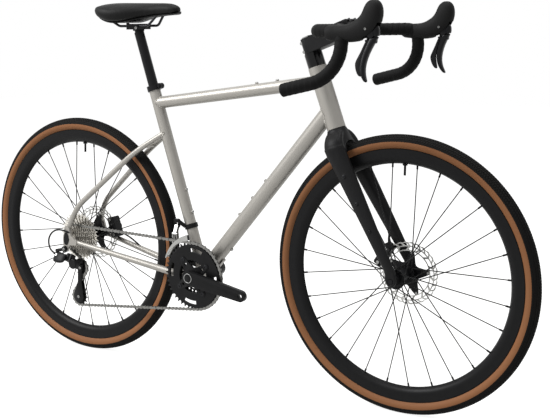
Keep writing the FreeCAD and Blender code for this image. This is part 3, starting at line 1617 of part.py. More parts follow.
def stem_bolts():
    solids = []
    front = stem_clamp_radius * stem_front_share
    for place in clamp_bolt_places():
        shank = rod(place - steer_ahead * stem_clamp_radius, place + steer_ahead * front, clamp_bolt_radius)
        head = rod(place + steer_ahead * front, place + steer_ahead * (front + clamp_bolt_head),
                   clamp_bolt_head_radius)
        solids.append(fuse([shank, head]))
    for place in pinch_bolt_places():
        reach = V(0, pinch_bolt_reach, 0)
        shank = rod(place - reach, place + reach, clamp_bolt_radius)
        head = rod(place - reach - V(0, clamp_bolt_head, 0), place - reach, clamp_bolt_head_radius)
        solids.append(fuse([shank, head]))
    base = stem_base + steer_up * (stem_height + spacer_gap)
    cap = rod(base, base + steer_up * top_cap_height, top_cap_radius)
    bolt_top = base + steer_up * (top_cap_height + clamp_bolt_radius)
    bolt = rod(base + steer_up * top_cap_height, bolt_top, clamp_bolt_head_radius)
    solids.append(fuse([cap, bolt]))
    return solids


# Handlebar and what it carries


def at_bar(forward, side, rise):
    return V(bar_middle.x + forward, side, bar_middle.z + rise)


def bar_points(side, start):
    return [at_bar(0, side * start, 0), at_bar(0, side * bar_corner_half, 0),
            at_bar(bar_reach, side * bar_hood_half, 0), at_bar(bar_reach, side * bar_drop_half, -bar_drop),
            at_bar(-bar_end_back, side * bar_end_half, -bar_end_drop)]


bar_rounds = [bar_corner_round, bar_hook_round, bar_drop_round]


def handlebar():
    pieces = []
    for side in (-1, 1):
        points = bar_points(side, bar_taper_half)
        outer = bent_rod(points, bar_rounds, bar_radius)
        pieces.append(outer.cut(bent_rod(points, bar_rounds, bar_radius - bar_wall)))
        pieces.append(rod(at_bar(0, side * bar_clamp_half, 0), at_bar(0, side * bar_taper_half, 0),
                          bar_clamp_radius, bar_radius))
    pieces.append(rod(at_bar(0, -bar_clamp_half, 0), at_bar(0, bar_clamp_half, 0), bar_clamp_radius))
    return [fuse(pieces)]


def tape_core(side):
    return bent_rod(bar_points(side, tape_start), bar_rounds, tape_radius)


def bar_tape():
    solids = []
    for side in (-1, 1):
        bore = bent_rod(bar_points(side, tape_start), bar_rounds, bar_radius + fit_gap)
        solids.append(tape_core(side).cut(bore))
        points = bar_points(side, tape_start)
        along = (points[-1] - points[-2]).normalize()
        end = points[-1] + along * spacer_gap
        solids.append(rod(end, end + along * plug_height, plug_radius))
    return solids


def hood(side):
    sections = []
    places = zip(hood_station_shares, hood_rise_shares, hood_height_shares, hood_width_shares, hood_tilts)
    for station, rise, height, width, tilt in places:
        centre = at_bar(hood_start + hood_length * station, side * bar_hood_half, hood_horn_rise * rise)
        sections.append(ellipse_wire(centre, polar(90 + tilt) * (hood_half_height * height),
                                     V(0, hood_half_width * width, 0)))
    body = Part.makeLoft(sections, True, False).cut(tape_core(side))
    slot = Part.makeBox(bar_reach * 2, hood_slot_half * 2, bar_drop + hood_slot_top,
                        at_bar(hood_slot_back, side * bar_hood_half - hood_slot_half, -bar_drop))
    body = body.cut(slot)
    pin_place = at_bar(lever_pin_forward, side * bar_hood_half, lever_pin_rise)
    half = hood_half_width - spoke_radius
    pin = rod(pin_place + V(0, -half, 0), pin_place + V(0, half, 0), lever_pin_radius)
    body = max(body.cut(pin).Solids, key=lambda piece: piece.Volume)
    return [body, pin]


def brake_hoods():
    return hood(-1) + hood(1)


def swing_point(side, forward=swing_forward):
    return at_bar(forward, side * bar_hood_half, -swing_drop)


def lever_pivot(side):
    """Block that turns on the hood's pin, with two ears and the pin that the blade swings on."""
    pin_place = at_bar(lever_pin_forward, 0, lever_pin_rise)
    waist = at_bar(swing_forward, 0, -swing_drop + swing_barrel_radius + free_gap + lever_block_radius)
    middle = side * bar_hood_half
    block = bone(pin_place, lever_block_radius, waist, lever_block_radius,
                 middle - lever_block_half, middle + lever_block_half)
    pieces = [block]
    ear_near = swing_half_length + free_gap
    ear_far = ear_near + swing_ear_thickness
    rear_reach = ear_far + paddle_barrel_length + free_gap * 2
    centre = swing_point(side)
    for low, high in ((ear_near, ear_far), (-ear_far, -ear_near)):
        pieces.append(rod(centre + V(low, 0, 0), centre + V(high, 0, 0), swing_barrel_radius))
        pieces.append(Part.makeBox(high - low, swing_barrel_radius * 2, waist.z - centre.z,
                                   centre + V(low, -swing_barrel_radius, 0)))
    pieces.append(rod(centre + V(-rear_reach, 0, 0), centre + V(ear_far, 0, 0), swing_pin_radius))
    pin = rod(V(pin_place.x, middle - hood_half_width, pin_place.z),
              V(pin_place.x, middle + hood_half_width, pin_place.z), lever_pin_radius + fit_gap)
    return [fuse(pieces).cut(pin)]


def brake_lever(side):
    centre = swing_point(side)
    barrel = rod(centre + V(-swing_half_length, 0, 0), centre + V(swing_half_length, 0, 0),
                 swing_barrel_radius)
    sections = []
    places = zip(blade_station_shares, blade_bow_shares, blade_depth_shares, blade_width_shares,
                 blade_flare_shares)
    for station, bow, depth, width, flare in places:
        middle = at_bar(swing_forward - blade_bow * bow, side * (bar_hood_half + blade_flare * flare),
                        -blade_top_drop - blade_length * station)
        sections.append(ellipse_wire(middle, V(0, blade_half_width * width, 0),
                                     V(blade_half_depth * depth, 0, 0)))
    blade = Part.makeLoft(sections, True, False)
    body = fuse([barrel, blade])
    return [body.cut(rod(centre + V(-overrun, 0, 0), centre + V(overrun, 0, 0), swing_pin_radius + fit_gap))]


def shift_paddle(side):
    """Plate behind the brake blade, hung on the same pin."""
    ear_far = swing_half_length + free_gap + swing_ear_thickness
    centre = swing_point(side)
    near = -ear_far - free_gap
    far = near - paddle_barrel_length
    barrel = rod(centre + V(far, 0, 0), centre + V(near, 0, 0), swing_barrel_radius)
    neck_front = centre.x - bar_middle.x + near
    neck_rear = centre.x - bar_middle.x + far
    outline = [(neck_front, swing_drop), (paddle_front_forward, paddle_top_drop),
               (paddle_waist_forward, paddle_waist_drop), (paddle_foot_forward, paddle_foot_drop),
               (paddle_corner_forward, paddle_corner_drop), (neck_rear, swing_drop)]
    half = paddle_half_thickness
    plate = slab([at_bar(forward, 0, -drop) for forward, drop in outline], -half, half)
    lean = math.degrees(math.atan2(paddle_flare, paddle_foot_drop - swing_drop))
    plate.rotate(at_bar(0, 0, -swing_drop), ALONG_X, side * lean)
    plate.translate(V(0, side * bar_hood_half, 0))
    bore = rod(centre + V(far - overrun, 0, 0), centre + V(near, 0, 0), swing_pin_radius + fit_gap)
    return [fuse([barrel, plate]).cut(bore)]


# Disc brakes


def caliper(axle, place, angle, seat):
    """Caliper over the rotor's edge at an angle, seated on a tube, with a pad each side of the rotor."""
    top = rotor_radius - caliper_overlap
    half = caliper_half_width
    block = Part.makeBox(caliper_depth, half * 2, caliper_height,
                         V(top, place - half, -caliper_height / 2))
    block = block.makeFillet(caliper_round, block.Edges)
    slot = disc(ORIGIN, place - caliper_slot_half, place + caliper_slot_half, rotor_radius + free_gap * 2)
    pads = []
    for sign in (-1, 1):
        near = place + sign * (rotor_thickness / 2 + free_gap)
        pad = Part.makeBox(pad_depth, pad_thickness, pad_height,
                           V(rotor_radius - pad_depth - free_gap, min(near, near + sign * pad_thickness),
                             -pad_height / 2))
        block = block.cut(pad)
        pads.append(pad)
    solids = [block.cut(slot)] + pads
    placed = []
    for solid in solids:
        copy = solid.copy()
        copy.rotate(ORIGIN, ALONG_Y, -angle)
        copy.translate(axle)
        placed.append(copy)
    placed[0] = max(placed[0].cut(seat).Solids, key=lambda piece: piece.Volume)
    return placed


def front_caliper():
    return caliper(front_axle, front_rotor_place, front_caliper_angle, fork_leg(1))


def rear_caliper():
    return caliper(rear_axle, rear_rotor_place, rear_caliper_angle, flip(chainstay_rod()))


def front_thru_axle():
    outer = front_spacing / 2 + fork_end_thickness
    shaft = disc(front_axle, -outer, outer, axle_radius)
    head = disc(front_axle, outer, outer + axle_head_length, axle_head_radius)
    return [fuse([shaft, head])]


# Seatpost and saddle

rail_middle = bb + seat_up * rail_station + V(rail_clamp_ahead, 0, 0)
rail_height = rail_middle.z


def saddle_stations():
    """Place, half width, top and underside of the saddle at each of its cross-sections."""
    tail = rail_middle.x + saddle_nose_ahead - saddle_length
    stations = []
    shares = zip(saddle_station_shares, saddle_width_shares, saddle_fall_shares, saddle_arch_shares)
    for station, width, fall, arch in shares:
        stations.append((tail + saddle_length * station, saddle_half_width * width,
                         rail_height + saddle_rise - saddle_top_fall * fall,
                         rail_height + saddle_skirt_rise + saddle_skirt_arch * arch))
    return stations


def seatpost():
    low = bb + seat_up * seatpost_low_station
    high = bb + seat_up * seatpost_top_station
    post = rod(low, high, seatpost_radius)
    cradle_top = rail_height - cradle_gap / 2
    corner = V(rail_middle.x - cradle_length / 2, -cradle_half_width, cradle_top - cradle_height)
    cradle = Part.makeBox(cradle_length, cradle_half_width * 2, cradle_height, corner)
    neck = rod(high - seat_up * cradle_neck_radius, V(rail_middle.x, 0, cradle_top - cradle_height / 2),
               cradle_neck_radius)
    neck = neck.cut(Part.makeBox(cradle_length * 2, cradle_half_width * 4, cradle_height * 4,
                                 V(rail_middle.x - cradle_length, -cradle_half_width * 2, cradle_top)))
    bore = rod(low, high - seat_up * cradle_neck_radius, seatpost_radius - seatpost_wall)
    body = fuse([post, cradle, neck]).cut(bore).cut(rail_grooves()).cut(saddle_bolt_holes())
    return [body]


def rail_grooves():
    grooves = []
    for side in (-1, 1):
        start = V(rail_middle.x - cradle_length, side * rail_half_spacing, rail_height)
        grooves.append(rod(start, start + V(cradle_length * 2, 0, 0), rail_radius + fit_gap))
    return Part.makeCompound(grooves)


def saddle_bolt_places():
    return [rail_middle + V(spread, 0, 0) for spread in (-clamp_bolt_spread, clamp_bolt_spread)]


def saddle_bolt_holes():
    holes = []
    for place in saddle_bolt_places():
        cradle_foot = place - V(0, 0, cradle_gap / 2 + cradle_height)
        holes.append(rod(cradle_foot, place + V(0, 0, clamp_bolt_reach), clamp_bolt_radius + fit_gap))
        holes.append(rod(cradle_foot - V(0, 0, clamp_bolt_reach), cradle_foot,
                         clamp_bolt_head_radius + fit_gap))
    return Part.makeCompound(holes)


def saddle_clamp():
    base = rail_height + cradle_gap / 2
    plate = Part.makeBox(cradle_length, cradle_half_width * 2, clamp_plate_height,
                         V(rail_middle.x - cradle_length / 2, -cradle_half_width, base))
    plate = plate.cut(rail_grooves()).cut(saddle_bolt_holes())
    solids = [plate]
    for place in saddle_bolt_places():
        top = V(place.x, 0, base + clamp_plate_height)
        low = V(place.x, 0, rail_height - cradle_gap / 2 - cradle_height)
        shank = rod(low, top, clamp_bolt_radius)
        head = rod(low - V(0, 0, clamp_bolt_head), low, clamp_bolt_head_radius)
        solids.append(fuse([shank, head]))
    return solids


def saddle_section(x, half_width, top, low):
    """Cross-section with a crowned top, full sides and edges drawn in underneath."""
    height = top - low
    crown_y = half_width * saddle_crown_share
    crown_z = top - height * saddle_crown_drop_share
    side_z = low + height * saddle_side_share
    tuck = half_width * saddle_tuck_share

    def place(y, z):
        return V(x, y, z)

    edges = [Part.LineSegment(place(-tuck, low), place(tuck, low)).toShape(),
             Part.Arc(place(tuck, low), place(half_width, side_z), place(crown_y, crown_z)).toShape(),
             Part.Arc(place(crown_y, crown_z), place(0, top), place(-crown_y, crown_z)).toShape(),
             Part.Arc(place(-crown_y, crown_z), place(-half_width, side_z), place(-tuck, low)).toShape()]
    return Part.Wire(edges)


def saddle_pad():
    sections = [saddle_section(x, half, top, low) for x, half, top, low in saddle_stations()]
    return [Part.makeLoft(sections, True, False)]


def saddle_shell():
    sections = []
    for x, half, _, low in saddle_stations():
        inner = half * saddle_tuck_share * shell_inset_share
        high = low - free_gap
        foot = high - shell_thickness
        sections.append(Part.makePolygon([V(x, -inner, foot), V(x, inner, foot), V(x, inner, high),
                                          V(x, -inner, high), V(x, -inner, foot)]))
    return [Part.makeLoft(sections, True, False)]


def low_at(x):
    """Height of the saddle's underside at a place along X."""
    stations = saddle_stations()
    for (first, _, _, low), (last, _, _, following) in zip(stations, stations[1:]):
        if x <= last:
            return low + (following - low) * (x - first) / (last - first)
    return stations[-1][3]


def saddle_rails():
    shell = saddle_shell()[0]
    solids = []
    for side in (-1, 1):
        rear_x = rail_middle.x - rail_rear_back
        front_x = rail_middle.x + rail_front_ahead
        points = [V(rear_x, side * rail_rear_half, low_at(rear_x)),
                  V(rail_middle.x - rail_rear_bend_back, side * rail_half_spacing, rail_height),
                  V(rail_middle.x + rail_front_bend_ahead, side * rail_half_spacing, rail_height),
                  V(front_x, side * rail_front_half, low_at(front_x))]
        rail = bent_rod(points, [rail_bend_round, rail_bend_round], rail_radius).cut(shell)
        solids.append(max(rail.Solids, key=lambda piece: piece.Volume))
    return solids


# Every node of the bike


def rear_housings():
    shift = cord([V(*point) for point in housing_route], housing_radius).cut(dropout_plate())
    hose = cord([V(*point) for point in rear_hose_route], hose_radius)
    hose = hose.cut(flip(chainstay_rod())).cut(rear_caliper()[0])
    return [max(piece.Solids, key=lambda solid: solid.Volume) for piece in (shift, hose)]


def front_brake_hose():
    hose = cord([V(*point) for point in front_hose_route], hose_radius)
    hose = hose.cut(fork_leg(1)).cut(front_caliper()[0])
    return [max(hose.Solids, key=lambda solid: solid.Volume)]


front_flanges = (-front_right_flange, front_left_flange)
rear_flanges = (-rear_right_flange, rear_left_flange)
front_hub_end = front_spacing / 2 - hub_end_gap
rear_hub_end = rear_spacing / 2 - hub_end_gap

nodes = {
    "head_tube": head_tube,
    "top_tube": top_tube,
    "down_tube": down_tube,
    "seat_tube": seat_tube,
    "bottom_bracket_shell": bottom_bracket_shell,
    "chainstays": chainstays,
    "seatstays": seatstays,
    "dropouts": dropouts,
    "seat_clamp": seat_clamp,
    "headset_bearings": headset_bearings,
    "bottom_bracket_cups": bottom_bracket_cups,
    "rear_thru_axle": rear_thru_axle,
    "rear_caliper": rear_caliper,
    "rear_housings": rear_housings,
    "front_derailleur_body": front_derailleur_body,
    "front_derailleur_link": front_derailleur_link,
    "front_derailleur_cage": front_derailleur_cage,
    "chain": chain,
    "cassette": cassette,
    "chainrings": chainrings,
    "right_crank_arm": right_crank_arm,
    "left_crank_arm": left_crank_arm,
    "derailleur_b_knuckle": derailleur_b_knuckle,
    "derailleur_outer_link": lambda: derailleur_link(0),
    "derailleur_inner_link": lambda: derailleur_link(derailleur_link_gap),
    "derailleur_p_knuckle": derailleur_p_knuckle,
    "derailleur_cage": derailleur_cage,
    "upper_pulley": lambda: pulley(guide, guide_teeth),
    "lower_pulley": lambda: pulley(tension, tension_teeth),
    "rear_tyre": lambda: tyre(rear_axle),
    "rear_rim": lambda: rim(rear_axle, rear_flanges, rear_valve_angle),
    "rear_spokes": lambda: spokes(rear_axle, rear_flanges, rear_valve_angle),
    "rear_hub": lambda: hub(rear_axle, -rear_hub_right_end, rear_hub_end, rear_flanges, rear_rotor_place,
                            rear_valve_angle),
    "rear_rotor": lambda: rotor(rear_axle, rear_rotor_place),
    "front_tyre": lambda: tyre(front_axle),
    "front_rim": lambda: rim(front_axle, front_flanges, front_valve_angle),
    "front_spokes": lambda: spokes(front_axle, front_flanges, front_valve_angle),
    "front_hub": lambda: hub(front_axle, -front_hub_end, front_hub_end, front_flanges, front_rotor_place,
                             front_valve_angle),
    "front_rotor": lambda: rotor(front_axle, front_rotor_place),
    "fork": fork,
    "front_thru_axle": front_thru_axle,
    "front_caliper": front_caliper,
    "front_brake_hose": front_brake_hose,
    "headset_spacers": headset_spacers,
    "stem": stem,
    "stem_bolts": stem_bolts,
    "handlebar": handlebar,
    "bar_tape": bar_tape,
    "brake_hoods": brake_hoods,
    "right_lever_pivot": lambda: lever_pivot(-1),
    "right_brake_lever": lambda: brake_lever(-1),
    "right_shift_paddle": lambda: shift_paddle(-1),
    "left_lever_pivot": lambda: lever_pivot(1),
    "left_brake_lever": lambda: brake_lever(1),
    "left_shift_paddle": lambda: shift_paddle(1),
    "seatpost": seatpost,
    "saddle_clamp": saddle_clamp,
    "saddle_rails": saddle_rails,
    "saddle_shell": saddle_shell,
    "saddle_pad": saddle_pad,
}

os.makedirs("parts", exist_ok=True)
for node_name, build in nodes.items():
    export(node_name, build())
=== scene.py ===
import bmesh
import bpy
import cmath
import json
import math
from mathutils import Matrix, Vector

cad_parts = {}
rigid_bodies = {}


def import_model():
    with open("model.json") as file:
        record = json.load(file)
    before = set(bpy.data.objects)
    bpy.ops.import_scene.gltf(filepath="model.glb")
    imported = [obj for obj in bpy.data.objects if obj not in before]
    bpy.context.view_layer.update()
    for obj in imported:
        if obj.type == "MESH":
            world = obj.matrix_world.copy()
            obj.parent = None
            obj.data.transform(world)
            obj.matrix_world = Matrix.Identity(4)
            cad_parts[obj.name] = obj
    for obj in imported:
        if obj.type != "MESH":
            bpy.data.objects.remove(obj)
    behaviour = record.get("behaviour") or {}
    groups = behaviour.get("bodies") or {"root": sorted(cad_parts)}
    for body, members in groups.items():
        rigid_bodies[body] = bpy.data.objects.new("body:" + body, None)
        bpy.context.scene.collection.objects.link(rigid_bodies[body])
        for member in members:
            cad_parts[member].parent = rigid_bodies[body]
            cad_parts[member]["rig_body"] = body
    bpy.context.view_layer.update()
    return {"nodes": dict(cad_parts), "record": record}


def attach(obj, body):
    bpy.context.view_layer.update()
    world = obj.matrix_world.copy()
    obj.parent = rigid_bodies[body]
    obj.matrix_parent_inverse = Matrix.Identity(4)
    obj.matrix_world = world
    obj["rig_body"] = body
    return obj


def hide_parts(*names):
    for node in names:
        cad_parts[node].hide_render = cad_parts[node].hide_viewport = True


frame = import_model()
cad = frame["nodes"]


# Frame: titanium tubes, mitred and TIG welded into a diamond, then brushed along each tube to a satin
# lay and left bare. The bosses, the dropouts and the bottom bracket shell are the same metal.
def linear(code):
    """An sRGB hex code as linear red, green, blue and alpha."""
    parts = [int(code[i:i + 2], 16) / 255 for i in (0, 2, 4)]
    return tuple(c / 12.92 if c <= 0.04045 else ((c + 0.055) / 1.055) ** 2.4 for c in parts) + (1.0,)


def add(tree, kind, inputs=(), **settings):
    """One node with its settings, its input values and its links."""
    node = tree.nodes.new(kind)
    for name, value in settings.items():
        setattr(node, name, value)
    for name, value in dict(inputs).items():
        if isinstance(value, bpy.types.NodeSocket):
            tree.links.new(value, node.inputs[name])
        else:
            node.inputs[name].default_value = value
    return node


def new_finish(name):
    """An empty material and its node tree."""
    material = bpy.data.materials.new(name)
    material.use_nodes = True
    material.node_tree.nodes.clear()
    return material, material.node_tree


def laid(tree, size, turn=(0, 0, 0)):
    """Object coordinates in which a pattern of one unit is as large as size, in metres, and turned. A size of
    one number is the same each way."""
    size = size if isinstance(size, tuple) else (size, size, size)
    place = add(tree, "ShaderNodeTexCoord").outputs["Object"]
    return add(tree, "ShaderNodeMapping", {"Vector": place, "Rotation": turn, "Scale": size},
               vector_type="TEXTURE").outputs["Vector"]


def coated(tree, colour, roughness, sockets, relief=None):
    """The shader and the material's output. Colour and roughness each run between two ends by a pattern, and
    relief is a pattern, its strength and its height in metres."""
    share, *ends = colour
    low, high = (end if isinstance(end, bpy.types.NodeSocket) else linear(end) for end in ends)
    tone = add(tree, "ShaderNodeMix", {0: share, 6: low, 7: high}, data_type="RGBA").outputs[2]
    share, low, high = roughness
    rough = add(tree, "ShaderNodeMapRange", {"Value": share, "To Min": low, "To Max": high}).outputs["Result"]
    shader = add(tree, "ShaderNodeBsdfPrincipled", {"Base Color": tone, "Roughness": rough, **sockets})
    if relief:
        height, strength, distance = relief
        bump = add(tree, "ShaderNodeBump", {"Height": height, "Strength": strength, "Distance": distance})
        tree.links.new(bump.outputs["Normal"], shader.inputs["Normal"])
    add(tree, "ShaderNodeOutputMaterial", {"Surface": shader.outputs["BSDF"]})


def brushed_titanium(name, lean):
    """Fine strokes along a tube that leans up from forward by an angle, with faint cloudy patches.
    Real strokes are 0.2 mm wide; these are 1.2 mm, so that they show from a few steps away."""
    material, tree = new_finish(name)
    turn = (0, -math.radians(lean), 0)
    strokes = add(tree, "ShaderNodeTexNoise", {"Vector": laid(tree, (0.05, 0.0012, 0.0012), turn),
                                               "Scale": 1.0, "Detail": 3.0}).outputs["Fac"]
    clouds = add(tree, "ShaderNodeTexNoise", {"Vector": laid(tree, (0.09, 0.03, 0.03), turn),
                                              "Scale": 1.0, "Detail": 2.0}).outputs["Fac"]
    tone = add(tree, "ShaderNodeMix", {0: strokes, 6: linear("8F8C87"), 7: linear("AAA7A1")},
               data_type="RGBA").outputs[2]
    patch = add(tree, "ShaderNodeMapRange", {"Value": clouds, "To Min": 0.0, "To Max": 0.35}).outputs["Result"]
    coated(tree, (patch, tone, "9A968F"), (strokes, 0.36, 0.5), {"Metallic": 0.5}, (strokes, 0.12, 0.0002))
    return material


def finished(mesh, *finishes):
    """The same mesh with its finishes in place of any that it had. Faces of a bare mesh keep their choice."""
    if len(mesh.materials):
        mesh.materials.clear()
    for finish in finishes:
        mesh.materials.append(finish)
    return mesh


def dress(finish, *names):
    """Gives CAD nodes a finish."""
    for name in names:
        finished(cad[name].data, finish)


head_lean, seat_lean = 109.6, 107.0
bottom_bracket = Vector((-0.082147, 0, 0.286))
rear_axle, front_axle = Vector((-0.5205, 0, 0.35)), Vector((0.5205, 0, 0.35))


def lean(angle):
    """Direction that leans up from forward by an angle, in the bike's mid-plane."""
    return Vector((math.cos(math.radians(angle)), 0, math.sin(math.radians(angle))))


head_foot = Vector((0.339805, 0, 0.706014))
seat_crest = bottom_bracket + lean(seat_lean) * 0.523
top_tube_ends = (bottom_bracket + lean(seat_lean) * 0.488, head_foot + lean(head_lean) * 0.122)
down_tube_ends = (bottom_bracket, head_foot + lean(head_lean) * 0.048)
for tube, angle in (("head_tube", head_lean), ("seat_tube", seat_lean), ("top_tube", 7.0),
                    ("down_tube", 47.0), ("chainstays", -8.0), ("seatstays", 45.0), ("dropouts", 20.0),
                    ("bottom_bracket_shell", 90.0)):
    dress(brushed_titanium("brushed_titanium_" + tube, angle), tube)


# Weld beads: each tube end is joined by a row of small overlapping pools of titanium, laid by hand
# round the mitre. They stand under a millimetre proud and are a shade brighter than the tubes.
def set_out(name, data):
    """A new object of some data in the scene."""
    thing = bpy.data.objects.new(name, data)
    bpy.context.scene.collection.objects.link(thing)
    return thing


def frozen(thing):
    """The plain mesh that an object and its modifiers make; the object itself goes."""
    mesh = bpy.data.meshes.new_from_object(thing.evaluated_get(bpy.context.evaluated_depsgraph_get()))
    bpy.data.objects.remove(thing)
    return mesh


def poured(shell, mesh):
    """A mesh filled from a bmesh, which is then freed."""
    shell.to_mesh(mesh)
    shell.free()
    return mesh


def path(points, closed=False):
    """An object that holds straight runs through points."""
    curve = bpy.data.curves.new("path", "CURVE")
    curve.dimensions = "3D"
    spline = curve.splines.new("POLY")
    spline.points.add(len(points) - 1)
    for target, point in zip(spline.points, points):
        target.co = (*point, 1.0)
    spline.use_cyclic_u = closed
    return set_out("path", curve)


def grown(tree, values, base=None):
    """The plain mesh that a geometry node tree makes, with its named inputs set."""
    holder = set_out("holder", base or bpy.data.meshes.new("holder"))
    modifier = holder.modifiers.new("grow", "NODES")
    modifier.node_group = tree
    for item in tree.interface.items_tree:
        if item.in_out == "INPUT" and item.name in values:
            modifier[item.identifier] = values[item.name]
    return frozen(holder)


def new_tree(name, **inputs):
    """A geometry node tree with named inputs and one geometry output, and the sockets of its inputs."""
    tree = bpy.data.node_groups.new(name, "GeometryNodeTree")
    tree.interface.new_socket("Geometry", in_out="OUTPUT", socket_type="NodeSocketGeometry")
    for label, kind in inputs.items():
        tree.interface.new_socket(label.replace("_", " "), in_out="INPUT", socket_type="NodeSocket" + kind)
    return tree, tree.nodes.new("NodeGroupInput").outputs


def ends_in(tree, geometry, material):
    """Realizes a tree's instances, gives them their finish and sends them out."""
    realized = add(tree, "GeometryNodeRealizeInstances", {"Geometry": geometry}).outputs["Geometry"]
    dressed = add(tree, "GeometryNodeSetMaterial", {"Geometry": realized, "Material": material})
    add(tree, "NodeGroupOutput", {"Geometry": dressed.outputs["Geometry"]})


def piece(name, mesh, body, slot, *replaced):
    """A finished mesh as an object that rides on a body and may stand for CAD nodes."""
    thing = set_out(name, mesh)
    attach(thing, body)
    if replaced:
        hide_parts(*replaced)
    return thing


def smooth(mesh, angle=40.0):
    """The same mesh shaded smooth, with edges above an angle in degrees left sharp."""
    mesh.shade_smooth()
    mesh.set_sharp_from_angle(angle=math.radians(angle))
    return mesh


# Bare weld metal: ripples of 4 mm that catch the light, smoother and brighter than the brushed tubes.
weld, tree = new_finish("weld_bead_titanium")
ripple = add(tree, "ShaderNodeTexNoise", {"Vector": laid(tree, 0.004), "Scale": 1.0}).outputs["Fac"]
coated(tree, (ripple, "9B9892", "B7B4AE"), (ripple, 0.28, 0.42), {"Metallic": 0.7})

bead_tree, given = new_tree("weld_beads", Line="Object", Bead_step="Float", Bead_radius="Float")
line = add(bead_tree, "GeometryNodeObjectInfo", {"Object": given["Line"]}).outputs["Geometry"]
line = add(bead_tree, "GeometryNodeResampleCurve", {"Curve": line, "Length": given["Bead step"]}, mode="LENGTH")
tangent = add(bead_tree, "GeometryNodeInputTangent").outputs["Tangent"]
along = add(bead_tree, "FunctionNodeAlignRotationToVector", {"Vector": tangent}, axis="X").outputs["Rotation"]
pool = add(bead_tree, "GeometryNodeMeshUVSphere", {"Segments": 8, "Rings": 5, "Radius": given["Bead radius"]})
beads = add(bead_tree, "GeometryNodeInstanceOnPoints", {"Points": line.outputs["Curve"],
                                                        "Instance": pool.outputs["Mesh"], "Rotation": along,
                                                        "Scale": (0.62, 1.0, 1.0)})
ends_in(bead_tree, beads.outputs["Instances"], weld)


def mitre(start, end, radius, post, post_way, post_radius):
    """The line on which a tube that leaves a post meets the post's surface."""
    way = (end - start).normalized()
    side = way.cross(Vector((0, 1, 0))).normalized()
    other = way.cross(side)
    across = way - post_way * way.dot(post_way)
    points, count = [], 72
    for step in range(count):
        turn = math.tau * step / count
        foot = start + (side * math.cos(turn) + other * math.sin(turn)) * radius
        arm = foot - post
        arm = arm - post_way * arm.dot(post_way)
        a, b, c = across.length_squared, arm.dot(across), arm.length_squared - post_radius ** 2
        reach = (-b + math.sqrt(max(b * b - a * c, 0.0))) / a
        points.append(foot + way * reach)
    return points


mm = 0.001
across_bike = Vector((0, 1, 0))
seat_post = (bottom_bracket, lean(seat_lean), 15.9 * mm)
head_post = (head_foot, lean(head_lean), 23.8 * mm)
shell_post = (bottom_bracket, across_bike, 22.5 * mm)
weld_lines = [mitre(top_tube_ends[0], top_tube_ends[1], 15.8 * mm, *seat_post),
              mitre(top_tube_ends[1], top_tube_ends[0], 16.2 * mm, *head_post),
              mitre(down_tube_ends[1], down_tube_ends[0], 21.0 * mm, *head_post),
              mitre(down_tube_ends[0], down_tube_ends[1], 21.0 * mm, *shell_post),
              mitre(bottom_bracket, seat_crest, 15.9 * mm, *shell_post)]
for hand in (-1, 1):
    stay_front = bottom_bracket + Vector((-0.012, 0.0195 * hand, -0.017))
    stay_rear = rear_axle + Vector((0.027, 0.0695 * hand, -0.0075))
    weld_lines.append(mitre(stay_front, stay_rear, 10.8 * mm, *shell_post))
    stay_top = bottom_bracket + lean(seat_lean) * 0.402 + Vector((0, 0.009 * hand, 0))
    stay_bend = rear_axle + Vector((0.230, 0.032 * hand, 0.265))
    weld_lines.append(mitre(stay_top, stay_bend, 7.6 * mm, *seat_post))
bead_step, bead_radius = 2.1 * mm, 1.9 * mm
bead_rows = bmesh.new()
for points in weld_lines:
    guide = path(points, closed=True)
    bead_rows.from_mesh(grown(bead_tree, {"Line": guide, "Bead step": bead_step, "Bead radius": bead_radius}))
    bpy.data.objects.remove(guide)
bead_mesh = finished(poured(bead_rows, bpy.data.meshes.new("weld_beads")), weld)
piece("weld_beads", smooth(bead_mesh), "frame", "titanium")


# Boss screws: button-head screws that close the threaded bosses of the frame and fork until a cage or a
# bag is fitted. Each has a hexagon socket; the frame's are stainless steel and the fork's are black.
def bright_steel(name, low, high, size, roughness):
    """Ground or rolled steel: fine grain that scatters the light a little. Real grain is under 0.1 mm; it is
    drawn at 1 mm or more, so that it shows."""
    material, tree = new_finish(name)
    grain = add(tree, "ShaderNodeTexNoise", {"Vector": laid(tree, size), "Scale": 1.0,
                                             "Detail": 3.0}).outputs["Fac"]
    coated(tree, (grain, low, high), (grain, roughness - 0.08, roughness + 0.08), {"Metallic": 1.0},
           (grain, 0.08, 0.0001))
    return material


def turned_head(rings, count=24):
    """A bolt head about +Z from rings of radius and height, some six-sided, rim first and floor last."""
    shell, loops = bmesh.new(), []
    for radius, height, *sided in rings:
        loop = []
        for step in range(count):
            turn = math.tau * step / count
            reach = radius / math.cos(turn % (math.tau / 6) - math.tau / 12) if sided else radius
            spot = Vector((reach * math.cos(turn), reach * math.sin(turn), height))
            loop.append(shell.verts.new(spot * mm))
        loops.append(loop)
    for low, high in zip(loops, loops[1:]):
        for step in range(count):
            after = (step + 1) % count
            shell.faces.new((low[step], low[after], high[after], high[step]))
    shell.faces.new(loops[-1])
    shell.faces.new(list(reversed(loops[0])))
    return poured(shell, bpy.data.meshes.new("head"))


seat_tree, given = new_tree("seated_heads", Seats="Geometry", Head="Object", Finish="Material")
facing = add(seat_tree, "GeometryNodeInputNamedAttribute", {"Name": "facing"}, data_type="FLOAT_VECTOR")
turn = add(seat_tree, "FunctionNodeAlignRotationToVector", {"Vector": facing.outputs["Attribute"]}, axis="Z")
sample = add(seat_tree, "GeometryNodeObjectInfo", {"Object": given["Head"]}).outputs["Geometry"]
seated = add(seat_tree, "GeometryNodeInstanceOnPoints", {"Points": given["Seats"], "Instance": sample,
                                                         "Rotation": turn.outputs["Rotation"]})
ends_in(seat_tree, seated.outputs["Instances"], given["Finish"])


